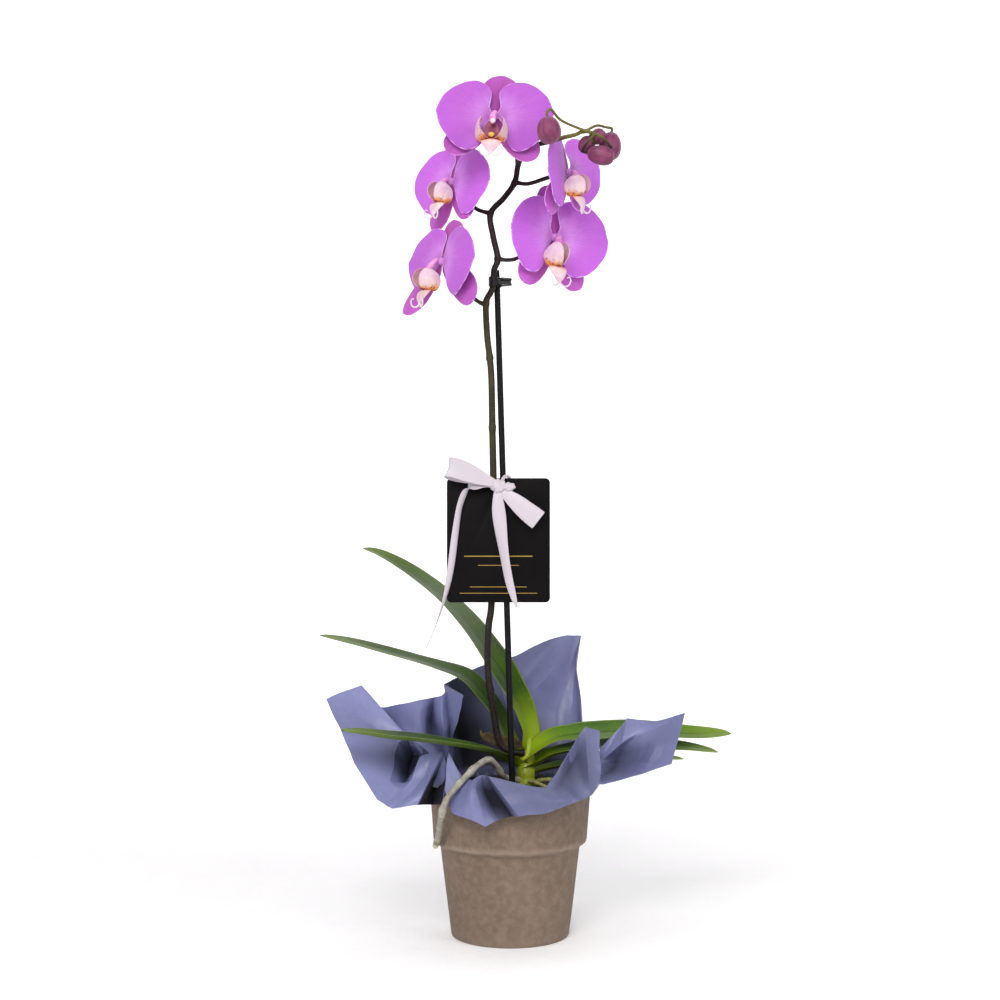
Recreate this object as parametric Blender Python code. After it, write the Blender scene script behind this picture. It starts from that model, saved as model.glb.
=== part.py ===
"""A moth orchid in a clay pot: film wrap, nursery pot with bark, stake, clip, bare card and ribbon.

The pot stands on Z = 0 with its axis on Z, and the front of the plant faces -Y. Sizes here are in
millimetres and become metres in the meshes. Points of routes and outlines are picked by hand.
"""

import math

import bmesh
import bpy
import numpy as np
from mathutils import Matrix, Vector

MM = 0.001
GAP = 0.3

# Clay pot
POT_HEIGHT = 130.0
POT_FOOT_RADIUS = 52.0
POT_NECK_RADIUS = 61.5
POT_NECK_HEIGHT = 79.0
POT_BAND_RADIUS = 67.5
POT_BAND_HEIGHT = 83.5
POT_RIM_RADIUS = 70.8
POT_MOUTH_RADIUS = 63.8
POT_INNER_FOOT_RADIUS = 45.5
POT_FLOOR = 7.0
POT_SIDES = 40

# Nursery pot inside it, and its bark
GROW_RIM_RADIUS = 59.5
GROW_FOOT_RADIUS = 43.0
GROW_FOOT_HEIGHT = 9.0
GROW_HEIGHT = 131.0
GROW_WALL = 1.2
GROW_SIDES = 32
BARK_LEVEL = 128.5
BARK_RELIEF = 1.6
BARK_SIDES = 28

# Wrap
FILM = 0.8
FILM_CUP_RADIUS = 61.7
FILM_CUP_LEVEL = 129.0
FILM_FLOOR_RADIUS = 44.2
FILM_FLOOR = 8.1
FILM_LIP_RADIUS = 66.0
FILM_LIP_LEVEL = 132.8

# Plant
CROWN_PLACE = (14.0, 4.0)
CROWN_RADIUS = 8.0
CROWN_FOOT = 119.0
CROWN_TOP = 172.0
STEM_LOW = 2.8
STEM_HIGH = 1.5
NODE_BULGE = 1.35
PEDICEL = 1.5
SPIKE_RINGS = 56
LEAF_THICK = 1.6
STAKE_RADIUS = 2.5
ROOT_RADIUS = 3.0

# Blooms
TEPAL_THICK = 0.9
# Direction, length and slope backwards of the three sepals; one bloom holds its lower two wide apart
SEPALS = ((90.0, 46.0, 0.30), (224.0, 50.0, 0.16), (316.0, 50.0, 0.16))
WIDE_SEPALS = ((90.0, 46.0, 0.30), (245.0, 59.0, 0.06), (338.0, 50.0, 0.30))
WIDE_BLOOM = "bloom_3"
SEPAL_HALF_WIDTH = 14.5
PETAL_MIDDLE = (24.0, 2.0)
HUB_BACK = 4.5
STALK_STEPS = (9.0, 4.5, 0.8)
BUD_STALK_STEPS = (3.5, 0.4)
COLUMN_FOOT = (-4.45, -6.2)
LIP_THICK = 1.2

# Card and ribbon
CARD_SIZE = (90.0, 107.6)
CARD_PLACE = (-10.1, -12.2, 348.6)
CARD_THICK = 0.8
CARD_CORNER = 4.0
CARD_HOLE = (-10.0, 395.5)
CARD_HOLE_RADIUS = 4.0
RIBBON_THICK = 0.7

# Name, place of the middle, turn to the left, nod and lean to the right in degrees, size, how much the
# petals slope forwards, and how far the lip is moved to the right and up from the middle
BLOOMS = (
    ("bloom_1", (-14.1, -58.0, 710.8), 0.0, -14.0, 6.0, 0.98, 0.13, (0.0, -6.0)),
    ("bloom_2", (-51.4, -2.0, 666.0), 42.0, -8.0, 14.0, 0.90, 0.02, (0.0, 0.0)),
    ("bloom_3", (-58.0, -20.0, 590.5), 48.0, -8.0, 16.0, 0.91, 0.05, (1.0, -6.0)),
    ("bloom_4", (49.9, -12.0, 668.3), -57.0, -2.0, -6.0, 0.93, 0.17, (-6.5, -5.5)),
    ("bloom_5", (40.4, 20.0, 621.5), -33.0, 0.0, -6.0, 1.065, 0.19, (-6.5, -5.5)),
)

# Name, middle, half length, half width, direction from the stalk end to the tip
BUDS = (
    ("bud_1", (32.0, -84.0, 693.6), 12.4, 10.0, (0.12, -0.1, -1.0)),
    ("bud_2", (64.3, -40.0, 690.6), 5.6, 4.6, (-0.35, 0.0, -1.0)),
    ("bud_3", (85.0, -34.0, 690.5), 10.5, 7.2, (-0.1, -0.05, -1.0)),
    ("bud_4", (76.5, -50.0, 678.0), 10.0, 6.0, (1.0, -0.1, -0.25)),
    ("bud_5", (75.5, -35.0, 702.5), 4.4, 3.6, (0.5, 0.5, 0.6)),
)

SPIKE_ROUTE = (
    (12.0, 4.0, 159.0), (2.0, 0.5, 161.0), (-6.5, 0.0, 165.0), (-11.0, 0.0, 174.0), (-14.3, 0.0, 193.5),
    (-18.3, -3.0, 216.0), (-21.5, -4.0, 239.0), (-19.1, -4.0, 272.0), (-16.6, -3.0, 292.0),
    (-16.0, 0.0, 345.0), (-15.0, 0.0, 400.0), (-14.9, 0.0, 406.0), (-15.8, 0.0, 448.7),
    (-16.6, 0.0, 491.0), (-18.2, 0.0, 510.7), (-20.5, 0.0, 531.0), (-21.4, 0.0, 558.4),
    (-17.4, -2.0, 567.3), (-15.2, -3.0, 573.5), (-14.3, -4.0, 586.9), (-11.0, -4.0, 597.5),
    (-15.2, -3.0, 617.7), (-17.4, -2.0, 637.4), (-5.5, 0.0, 651.6), (4.0, 2.0, 665.7),
    (7.0, -4.0, 680.0), (12.0, -26.0, 688.0), (20.0, -44.0, 689.0), (27.0, -57.0, 688.0),
    (36.0, -62.0, 689.0), (46.0, -58.0, 693.0), (55.8, -52.0, 696.5), (64.0, -52.0, 699.5),
    (78.0, -55.0, 693.5), (86.5, -58.0, 683.5),
)
# Heights of the joints of the spike
SPIKE_NODES = (216.0, 448.0, 510.0, 558.0, 597.0, 637.0, 665.0)

# Stalks, from inside the spike to just behind the flower or bud
PEDICEL_ROUTES = (
    ("bloom_3", ((-21.4, 0.0, 557.5), (-28.0, 3.0, 560.0), (-41.0, 0.0, 570.0), (-50.5, -8.0, 581.0))),
    ("bloom_5", ((-11.0, -4.0, 597.5), (-4.0, 6.0, 597.5), (6.0, 20.0, 601.0), (20.0, 31.0, 612.0))),
    ("bloom_2", ((-17.4, -2.0, 637.4), (-30.0, 3.0, 642.5), (-39.0, 6.0, 653.0))),
    ("bloom_4", ((4.0, 2.0, 665.7), (16.0, 1.5, 664.5), (31.0, -2.0, 668.5))),
    ("bloom_1", ((7.0, -4.0, 680.0), (4.0, -12.0, 695.0), (-6.0, -30.0, 709.0), (-12.5, -45.0, 713.0))),
    ("bud_1", ((64.0, -52.0, 699.5), (43.0, -68.0, 705.0), (34.0, -80.0, 711.5))),
    ("bud_2", ((58.0, -52.0, 697.3), (62.5, -46.0, 699.8))),
    ("bud_3", ((64.0, -52.0, 699.5), (74.0, -46.0, 705.5), (83.0, -37.0, 706.0))),
    ("bud_4", ((72.0, -54.0, 697.0), (66.0, -55.0, 690.0), (61.5, -51.0, 683.0))),
    ("bud_5", ((66.5, -52.8, 699.3), (69.5, -44.0, 698.0))),
)

# Name, route of the midrib, half width, way across the blade at its foot and at its tip, fold
LEAVES = (
    ("leaf_1", ((14.0, 5.0, 161.0), (17.5, 13.5, 174.0), (18.0, 17.0, 185.0), (12.5, 24.0, 202.0),
                (0.1, 34.0, 221.0), (-16.3, 45.0, 242.5), (-36.6, 55.0, 266.4), (-57.0, 63.0, 288.0),
                (-73.8, 68.0, 302.5), (-97.3, 73.0, 319.0), (-120.8, 77.0, 332.8),
                (-136.8, 80.0, 339.2)), 21.0, (0.6, 0.75, 0.25), (0.3, 0.95, 0.12), 0.24),
    ("leaf_2", ((14.0, 5.0, 148.0), (5.0, 15.0, 156.0), (-3.0, 21.5, 171.0), (-11.7, 25.0, 191.2),
                (-27.0, 28.0, 213.0), (-37.9, 31.0, 226.0), (-49.7, 33.0, 232.0), (-63.4, 36.0, 235.2),
                (-91.0, 42.0, 241.0), (-118.7, 47.0, 246.9), (-146.4, 51.0, 253.9), (-174.3, 55.0, 260.0)),
     19.0, (0.35, 0.85, 0.45), (0.2, 1.0, 0.03), 0.2),
    ("leaf_3", ((14.0, 4.0, 146.0), (2.0, 3.0, 151.0), (-9.0, -6.0, 157.5), (-17.0, -18.0, 163.0),
                (-26.4, -30.0, 167.8), (-52.0, -46.0, 174.5), (-77.1, -58.0, 179.6),
                (-102.0, -68.0, 183.5), (-122.5, -76.0, 188.0), (-142.2, -82.0, 191.4)),
     16.0, (-0.5, 0.86, 0.0), (-0.4, 0.9, 0.05), 0.26),
    ("leaf_4", ((14.0, 4.0, 155.0), (27.0, 1.5, 167.0), (44.6, 10.0, 176.0), (81.0, 24.0, 178.0),
                (118.0, 36.0, 177.2), (165.0, 50.0, 172.5), (203.8, 60.0, 169.3)),
     20.0, (-0.3, 0.95, 0.1), (-0.3, 0.9, 0.3), 0.26),
    ("leaf_5", ((14.0, 4.0, 145.0), (26.0, 1.0, 152.0), (38.0, 0.0, 158.4), (62.3, 8.0, 162.5),
                (98.7, 20.0, 162.0), (154.3, 36.0, 158.9), (190.0, 46.0, 154.0)),
     17.0, (-0.3, 0.95, 0.0), (-0.3, 0.9, 0.2), 0.26),
    ("leaf_6", ((14.0, 4.0, 139.0), (27.0, 10.0, 143.0), (60.0, 23.0, 148.0), (110.0, 42.0, 150.0),
                (160.7, 66.0, 144.8)), 13.0, (-0.45, 0.89, 0.0), (-0.4, 0.9, 0.1), 0.24),
)
OLD_LEAF = (
    (14.0, 6.0, 164.0), (3.0, 6.4, 168.0), (-8.0, 5.6, 169.5), (-20.0, 5.4, 173.0), (-27.0, 5.0, 176.5),
)

AERIAL_ROOT = (
    (12.0, 3.0, 134.5), (1.0, -3.0, 137.5), (-6.5, -12.0, 142.0), (-13.0, -24.0, 153.0),
    (-19.0, -34.0, 159.3),
    (-28.7, -46.0, 155.8), (-38.0, -57.0, 148.2), (-46.5, -62.5, 140.0), (-53.8, -64.0, 131.0),
    (-57.3, -63.0, 122.0), (-60.3, -58.0, 111.0), (-64.0, -46.0, 96.2), (-68.0, -30.0, 83.5),
)
SURFACE_ROOTS = (
    ("surface_root_1", 1.7, ((16.0, 2.0, 134.0), (19.0, -12.0, 136.5), (27.0, -26.0, 136.0),
                             (36.0, -36.0, 131.5), (39.0, -39.0, 124.0))),
    ("surface_root_2", 2.0, ((16.0, 3.0, 132.0), (30.0, -5.0, 137.0), (42.0, -12.0, 136.5),
                             (49.0, -17.0, 131.0), (50.0, -19.0, 123.0))),
)

STAKE_FOOT = (4.2, -20.0, 55.0)
STAKE_TOP = (-12.0, 4.4, 588.0)
CLIP_LEVEL = 577.0

# The film past the pot's mouth. Each rib leaves the cup at an angle and passes three points; the last
# is on the sheet's free edge. Angles turn from +X over +Y, so the front of the pot is at 270.
WRAP_RIBS = (
    (-30.0, (74, -44, 138), (82, -50, 140), (91, -57, 142)),
    (-25.0, (76, -42, 139), (95, -51, 143), (113, -62, 149)),
    (-20.0, (78, -37, 144), (108, -48, 154), (137, -64, 160)),
    (-15.0, (80, -31, 150), (115, -38, 172), (151, -50, 202)),
    (-9.0, (78, -25, 153), (99, -29, 171), (121, -36, 194)),
    (-3.0, (76, -18, 150), (90, -21, 170), (103, -22, 193)),
    (4.0, (70, -6, 144), (75, -12, 158), (81, -17, 173)),
    (13.0, (69, 8, 137), (75, 10, 136), (84, 11, 133)),
    (23.0, (66, 20, 137), (72, 24, 137), (81, 29, 133)),
    (32.0, (61, 34, 137), (66, 37, 139), (73, 41, 140)),
    (38.0, (57, 42, 141), (63, 46, 158), (67, 45, 178)),
    (46.0, (55, 51, 150), (62, 67, 190), (63, 81, 232)),
    (54.0, (50, 60, 155), (60, 79, 205), (69, 100, 256)),
    (62.0, (40, 66, 155), (50, 82, 205), (50, 96, 256)),
    (74.0, (24, 70, 152), (30, 79, 195), (28, 89, 247)),
    (88.0, (4, 70, 150), (6, 75, 190), (4, 81, 238)),
    (104.0, (-15, 66, 150), (-18, 69, 185), (-22, 64, 232)),
    (118.0, (-31, 59, 150), (-36, 58, 185), (-40, 52, 226)),
    (132.0, (-45, 49, 148), (-52, 44, 180), (-60, 32, 218)),
    (142.0, (-51, 39, 148), (-50, 28, 178), (-42, 10, 209)),
    (151.0, (-58, 31, 147), (-58, 20, 177), (-59, 12, 213)),
    (160.0, (-64, 23, 145), (-68, 28, 172), (-70, 12, 210)),
    (168.0, (-68, 14, 143), (-81, 10, 172), (-89, 5, 206)),
    (176.0, (-70, 4, 141), (-90, -15, 175), (-113, -5, 202)),
    (183.0, (-71, -5, 140), (-99, -14, 172), (-132, 0, 220)),
    (190.0, (-71, -13, 139), (-112, -24, 168), (-161, -25, 211)),
    (197.0, (-71, -23, 138), (-107, -37, 153), (-149, -40, 187)),
    (203.0, (-70, -32, 137), (-98, -49, 139), (-127, -62, 151)),
    (209.0, (-67, -39, 136), (-90, -55, 133), (-113, -72, 130)),
    (214.0, (-63, -44, 136), (-80, -58, 129), (-100, -72, 123)),
    (219.0, (-58, -48, 136), (-68, -56, 128), (-79, -64, 124)),
    (224.0, (-50, -40, 167), (-55, -50, 138), (-57, -54, 124)),
    (232.0, (-43, -56, 135), (-45, -60, 128), (-47, -62, 115)),
    (238.0, (-34, -60, 144), (-38, -66, 130), (-42, -68, 113)),
    (246.0, (-26, -65, 149), (-32, -74, 130), (-31, -76, 111)),
    (253.0, (-19, -68, 150), (-22, -79, 129), (-22, -80, 109)),
    (258.0, (-14, -69, 149), (-12, -73, 132), (-12, -75, 114)),
    (264.0, (-8, -71, 148), (-1, -80, 130), (3, -82, 119)),
    (277.0, (9, -71, 143), (14, -79, 130), (18, -80, 119)),
    (291.0, (28, -67, 139), (33, -74, 130), (35, -76, 121)),
    (299.0, (39, -60, 154), (42, -66, 136), (48, -68, 125)),
    (306.0, (53, -50, 173), (52, -62, 135), (57, -63, 128)),
    (313.0, (65, -42, 190), (60, -57, 134), (63, -59, 130)),
    (319.0, (76, -39, 181), (69, -52, 134), (72, -55, 131)),
    (325.0, (79, -42, 159), (76, -48, 140), (81, -52, 138)),
)

# Outline of the right petal seen from the front, from its claw over the top, in the bloom's frame
PETAL_OUTLINE = (
    (2.2, -2.0), (1.8, 3.0), (4.8, 9.0), (3.4, 18.0), (3.6, 25.0), (9.4, 31.5), (20.0, 32.5), (34.0, 27.0),
    (45.0, 16.0), (50.4, 2.0), (47.5, -10.0), (39.5, -22.0), (30.5, -29.5), (19.5, -31.5), (12.5, -26.5),
    (9.5, -15.0), (6.0, -6.0),
)

COLOURS = {
    "clay": ((0.235, 0.165, 0.120), 0.85),
    "plastic": ((0.02, 0.02, 0.02), 0.5),
    "bark": ((0.045, 0.026, 0.014), 0.95),
    "film": ((0.165, 0.185, 0.36), 0.55),
    "leaf": ((0.085, 0.15, 0.022), 0.4),
    "crown": ((0.16, 0.26, 0.03), 0.45),
    "dry": ((0.16, 0.10, 0.04), 0.8),
    "root": ((0.33, 0.31, 0.25), 0.8),
    "stem": ((0.028, 0.022, 0.018), 0.5),
    "petal": ((0.60, 0.17, 0.68), 0.5),
    "lip": ((0.75, 0.48, 0.58), 0.5),
    "bud": ((0.17, 0.045, 0.12), 0.5),
    "stake": ((0.015, 0.012, 0.012), 0.5),
    "clip": ((0.01, 0.01, 0.012), 0.35),
    "card": ((0.008, 0.008, 0.009), 0.5),
    "ribbon": ((0.75, 0.71, 0.74), 0.4),
}


def clear_scene():
    for item in list(bpy.data.objects):
        bpy.data.objects.remove(item, do_unlink=True)


def make_material(name):
    colour, rough = COLOURS[name]
    material = bpy.data.materials.new(name)
    material.use_nodes = True
    shader = material.node_tree.nodes["Principled BSDF"]
    shader.inputs["Base Color"].default_value = (*colour, 1.0)
    shader.inputs["Roughness"].default_value = rough
    shader.inputs["Metallic"].default_value = 0.0
    return material


def add_object(name, verts, faces, look=None, smooth=True):
    """A mesh object from points in millimetres, its faces turned outwards."""
    mesh = bpy.data.meshes.new(name)
    mesh.from_pydata([Vector(v) * MM for v in verts], [], faces)
    shape = bmesh.new()
    shape.from_mesh(mesh)
    bmesh.ops.recalc_face_normals(shape, faces=shape.faces)
    if shape.calc_volume(signed=True) < 0.0:
        bmesh.ops.reverse_faces(shape, faces=shape.faces)
    shape.to_mesh(mesh)
    shape.free()
    item = bpy.data.objects.new(name, mesh)
    bpy.context.scene.collection.objects.link(item)
    finish_object(item, look, smooth)
    return item


def finish_object(item, look, smooth=True):
    mesh = item.data
    if look:
        mesh.materials.clear()
        mesh.materials.append(make_material(look))
    if smooth:
        mesh.shade_smooth()
        mesh.set_sharp_from_angle(angle=math.radians(40))


def smooth_route(points, count, closed=False):
    """Evenly spaced points on a smooth curve through the given ones."""
    given = [Vector(p) for p in points]
    n = len(given)
    spans = n if closed else n - 1
    dense = []
    for i in range(spans):
        if closed:
            a, b, c, d = (given[(i + k) % n] for k in (-1, 0, 1, 2))
        else:
            b, c = given[i], given[i + 1]
            a = given[i - 1] if i > 0 else b * 2 - c
            d = given[i + 2] if i + 2 < n else c * 2 - b
        for k in range(12):
            t = k / 12
            dense.append(((b * 2) + (c - a) * t + (a * 2 - b * 5 + c * 4 - d) * t * t
                          + (b * 3 - a - c * 3 + d) * t ** 3) * 0.5)
    dense.append(given[0] if closed else given[-1])
    lengths = np.cumsum([0.0] + [(q - p).length for p, q in zip(dense, dense[1:])])
    wanted = np.linspace(0.0, lengths[-1], count + 1 if closed else count)
    columns = [np.interp(wanted, lengths, [p[axis] for p in dense]) for axis in range(len(given[0]))]
    result = [Vector(values) for values in zip(*columns)]
    return result[:-1] if closed else result


def tangents(route):
    last = len(route) - 1
    return [(route[min(i + 1, last)] - route[max(i - 1, 0)]).normalized() for i in range(last + 1)]


def make_lathe(name, profile, sides, look=None, place=(0.0, 0.0)):
    """A solid turned round Z. The profile runs from the axis at the foot, outside, to the axis."""
    shape = bmesh.new()
    points = [shape.verts.new((r * MM, 0.0, z * MM)) for r, z in profile]
    edges = [shape.edges.new(pair) for pair in zip(points, points[1:])]
    bmesh.ops.spin(shape, geom=points + edges, cent=(0, 0, 0), axis=(0, 0, 1), dvec=(0, 0, 0),
                   angle=2 * math.pi, steps=sides, use_merge=True, use_duplicate=False)
    bmesh.ops.remove_doubles(shape, verts=shape.verts, dist=1e-6)
    bmesh.ops.dissolve_degenerate(shape, dist=1e-7, edges=shape.edges)
    verts = [(v.co.x / MM + place[0], v.co.y / MM + place[1], v.co.z / MM) for v in shape.verts]
    faces = [[v.index for v in face.verts] for face in shape.faces]
    shape.free()
    return add_object(name, verts, faces, look)


def make_tube(name, route, radii, sides, look=None):
    """A round rod along a route, with flat ends."""
    ways = tangents(route)
    across = ways[0].orthogonal().normalized()
    verts = []
    for point, way, radius in zip(route, ways, radii):
        across = (across - way * across.dot(way)).normalized()
        other = way.cross(across)
        for k in range(sides):
            turn = 2 * math.pi * k / sides
            verts.append(point + (across * math.cos(turn) + other * math.sin(turn)) * radius)
    faces = []
    for i in range(len(route) - 1):
        for k in range(sides):
            a, b = i * sides + k, i * sides + (k + 1) % sides
            faces.append((a, b, b + sides, a + sides))
    faces.append(tuple(range(sides)))
    faces.append(tuple(range(len(verts) - sides, len(verts))))
    return add_object(name, verts, faces, look)


def make_ball(name, middle, radii, look=None, level=1):
    shape = bmesh.new()
    bmesh.ops.create_icosphere(shape, subdivisions=level, radius=1.0)
    verts = [Vector(middle) + Vector((v.co.x * radii[0], v.co.y * radii[1], v.co.z * radii[2]))
             for v in shape.verts]
    faces = [[v.index for v in face.verts] for face in shape.faces]
    shape.free()
    return add_object(name, verts, faces, look)


def make_band(name, route, across_ways, half_widths, thick, look=None):
    """A flat strip of even thickness along a route, its width along the given ways."""
    verts = []
    for point, way, across, half in zip(route, tangents(route), across_ways, half_widths):
        side = Vector(across)
        side = (side - way * side.dot(way)).normalized()
        up = side.cross(way) * (thick / 2)
        verts += [point - side * half - up, point + side * half - up,
                  point + side * half + up, point - side * half + up]
    faces = []
    for i in range(len(route) - 1):
        for k in range(4):
            a, b = i * 4 + k, i * 4 + (k + 1) % 4
            faces.append((a, b, b + 4, a + 4))
    faces += [(0, 1, 2, 3), tuple(range(len(verts) - 4, len(verts)))]
    return add_object(name, verts, faces, look, smooth=False)


def two_sided(grid, triangles, rim, thick):
    """A closed sheet: the middle surface's points moved both ways along their normals."""
    points = np.array([list(p) for p in grid], dtype=float)
    tri = np.array(triangles)
    cross = np.cross(points[tri[:, 1]] - points[tri[:, 0]], points[tri[:, 2]] - points[tri[:, 0]])
    cross /= np.maximum(np.linalg.norm(cross, axis=1, keepdims=True), 1e-9)
    normals = np.zeros_like(points)
    for k in range(3):
        np.add.at(normals, tri[:, k], cross)
    normals /= np.maximum(np.linalg.norm(normals, axis=1, keepdims=True), 1e-9)
    half = np.asarray(thick, dtype=float).reshape(-1, 1) / 2 if np.ndim(thick) else thick / 2
    count = len(points)
    verts = np.concatenate([points + normals * half, points - normals * half])
    faces = [tuple(t) for t in triangles]
    faces += [(c + count, b + count, a + count) for a, b, c in triangles]
    for a, b in zip(rim, rim[1:] + rim[:1]):
        faces.append((a, a + count, b + count))
        faces.append((a, b + count, b))
    return verts, faces


def make_leaf(name, points, half_width, foot_way, tip_way, fold, look="leaf", length_steps=14):
    """A strap leaf folded along its midrib, thick in the middle and thin at its edges."""
    route = smooth_route(points, length_steps)
    ways = tangents(route)
    spread = (-1.0, -0.55, 0.0, 0.55, 1.0)
    verts, thick = [], []
    for i, (point, way) in enumerate(zip(route, ways)):
        u = i / (length_steps - 1)
        hint = Vector(foot_way).lerp(Vector(tip_way), min(1.0, 1.6 * u))
        side = (hint - way * hint.dot(way)).normalized()
        up = side.cross(way)
        if up.z < 0:
            up = -up
        rise = min(1.0, 0.30 + 1.9 * u)
        taper = max(0.0, 1.0 - max(0.0, (u - 0.5) / 0.5) ** 2.2) ** 0.5
        half = half_width * rise * max(taper, 0.10)
        tilt = fold * (1.0 + 1.6 * max(0.0, 0.25 - u) / 0.25)
        for v in spread:
            verts.append(point + side * (half * v) + up * (half * abs(v) * tilt))
            thick.append(LEAF_THICK * (1.15 - 0.55 * abs(v)))
    rows = len(spread)
    triangles = []
    for i in range(length_steps - 1):
        for j in range(rows - 1):
            a, b = i * rows + j, i * rows + j + 1
            c, d = b + rows, a + rows
            triangles += [(a, b, c), (a, c, d)]
    last = (length_steps - 1) * rows
    rim = list(range(rows)) + [i * rows + rows - 1 for i in range(1, length_steps)]
    rim += [last + j for j in range(rows - 2, -1, -1)] + [i * rows for i in range(length_steps - 2, 0, -1)]
    body, faces = two_sided(verts, triangles, rim, thick)
    return add_object(name, body, faces, look)


def disc_grid(outline, middle, rings):
    """A disc of triangles inside an outline: its middle point, then rings out to the outline."""
    count = len(outline)
    flat = [Vector(middle)]
    for ring in range(1, rings + 1):
        share = ring / rings
        flat += [Vector(middle).lerp(Vector(p), share) for p in outline]
    triangles = [(0, 1 + k, 1 + (k + 1) % count) for k in range(count)]
    for ring in range(rings - 1):
        inner, outer = 1 + ring * count, 1 + (ring + 1) * count
        for k in range(count):
            n = (k + 1) % count
            triangles += [(inner + k, outer + k, outer + n), (inner + k, outer + n, inner + n)]
    rim = [1 + (rings - 1) * count + k for k in range(count)]
    return flat, triangles, rim


def make_tepal(outline, middle, rings, depth, thick, matrix):
    """A petal or sepal from its outline in the XZ plane; depth gives its Y at each point."""
    flat, triangles, rim = disc_grid(outline, middle, rings)
    verts = [matrix @ Vector((p[0], depth(p[0], p[1]), p[1])) for p in flat]
    body, faces = two_sided(verts, triangles, rim, thick)
    return add_object("tepal", body, faces)


def petal_depth(side, cup):
    def depth(x, z):
        out = abs(x)
        reach = math.hypot(out - PETAL_MIDDLE[0], z - PETAL_MIDDLE[1]) / 26.0
        angle = math.atan2(z - PETAL_MIDDLE[1], out - PETAL_MIDDLE[0])
        return -0.8 - cup * out + 2.6 * reach ** 2 + 0.8 * reach ** 3 * math.sin(3 * angle + side)
    return depth


def sepal_depth(back):
    def depth(x, z):
        return 1.4 + back * x - 0.0012 * x * x + 0.009 * z * z
    return depth


def sepal_outline(length, count):
    points = []
    for k in range(count):
        turn = 2 * math.pi * k / count
        along = 0.5 - 0.5 * math.cos(turn)
        width = SEPAL_HALF_WIDTH * math.sin(turn) * (0.72 + 0.34 * along)
        points.append(Vector((1.5 + (length - 1.5) * along, width)))
    return points


def bloom_frame(place, turn, nod, lean, size):
    return (Matrix.Translation(Vector(place)) @ Matrix.Rotation(math.radians(-turn), 4, "Z")
            @ Matrix.Rotation(math.radians(nod), 4, "X") @ Matrix.Rotation(math.radians(lean), 4, "Y")
            @ Matrix.Scale(size, 4))


def make_bloom(name, frame, cup):
    """Three sepals behind two petals, grown together in a small hub."""
    right = smooth_route([(x, z, 0.0) for x, z in PETAL_OUTLINE], 18, closed=True)
    hub = [frame @ Vector((0.0, y, 0.0)) for y in (-3.8, 0.0, HUB_BACK)]
    parts = [make_tube(name + "_hub", hub, (2.8, 4.6, 2.4), 8)]
    for side in (1, -1):
        outline = [Vector((p[0] * side, p[1])) for p in right]
        middle = (PETAL_MIDDLE[0] * side, PETAL_MIDDLE[1])
        parts.append(make_tepal(outline, middle, 3, petal_depth(side, cup), TEPAL_THICK, frame))
    for turn, length, back in WIDE_SEPALS if name == WIDE_BLOOM else SEPALS:
        spin = Matrix.Rotation(math.radians(-turn), 4, "Y")
        parts.append(make_tepal(sepal_outline(length, 12), (0.55 * length, 0.0), 2, sepal_depth(back),
                                TEPAL_THICK, frame @ spin))
    return fuse(name, parts, "petal")


def in_metres(matrix):
    """The same placing, for a mesh that is already in metres."""
    result = matrix.copy()
    result.translation = matrix.translation * MM
    return result


def make_lip(name, frame, right, up):
    """The three lobed lip with its two tendrils, and the column that carries it from the hub."""
    foot = [frame @ Vector((0.0, y, 0.0)) for y in COLUMN_FOOT]
    frame = frame @ Matrix.Translation((right, 0.0, up))
    column = foot + [frame @ Vector((0.0, -9.8, -1.6)), frame @ Vector((0.0, -11.2, -6.0))]
    def lobe(points, across, halves, bend=0.0):
        route = smooth_route(points, len(halves))
        verts, triangles = [], []
        for point, way, half in zip(route, tangents(route), halves):
            side = Vector(across)
            side = (side - way * side.dot(way)).normalized()
            up = side.cross(way)
            for v in (-1.0, 0.0, 1.0):
                verts.append(frame @ (point + side * (half * v) + up * (bend * half * abs(v))))
        for i in range(len(halves) - 1):
            for j in range(2):
                a, b = i * 3 + j, i * 3 + j + 1
                triangles += [(a, b, b + 3), (a, b + 3, a + 3)]
        last = (len(halves) - 1) * 3
        rim = [0, 1, 2] + [i * 3 + 2 for i in range(1, len(halves))] + [last + 1, last]
        rim += [i * 3 for i in range(len(halves) - 2, 0, -1)]
        body, faces = two_sided(verts, triangles, rim, LIP_THICK)
        return add_object("lobe", body, faces)

    def rod(points, radii, sides):
        route = [frame @ p for p in smooth_route(points, len(radii))]
        return make_tube("rod", route, radii, sides)

    parts = [
        make_tube("column", column, (2.0, 2.4, 3.0, 3.2), 6),
        rod(((0, -7.6, -3), (0, -8.8, -15)), (2.4, 3.2), 5),
        lobe(((0, -8.4, -13), (0, -13, -18.5), (0, -15.6, -25.5), (0, -15, -35)), (1, 0, 0),
             (3.6, 8.4, 8.6, 5.2, 1.3), 0.25),
    ]
    cap = make_ball("cap", (0, -10.6, -5.0), (3.4, 3.2, 3.4))
    cap.data.transform(in_metres(frame))
    parts.append(cap)
    for side in (1, -1):
        parts.append(lobe(((side * 1.6, -8.4, -14.5), (side * 8, -10, -13.5), (side * 12, -11.5, -8),
                           (side * 10.5, -12, -0.5)),
                          (side * 0.3, -1.0, 0.25), (3.4, 5.4, 6.2, 5.2, 2.2), 0.18))
        parts.append(rod(((side * 0.6, -14.9, -33.5), (side * 3.0, -16, -38), (side * 7.5, -17.5, -37.5),
                          (side * 8.5, -18.5, -33), (side * 5.6, -18.5, -31)), (0.8,) * 6, 3))
    return fuse(name, parts, "lip", "MANIFOLD")


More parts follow.
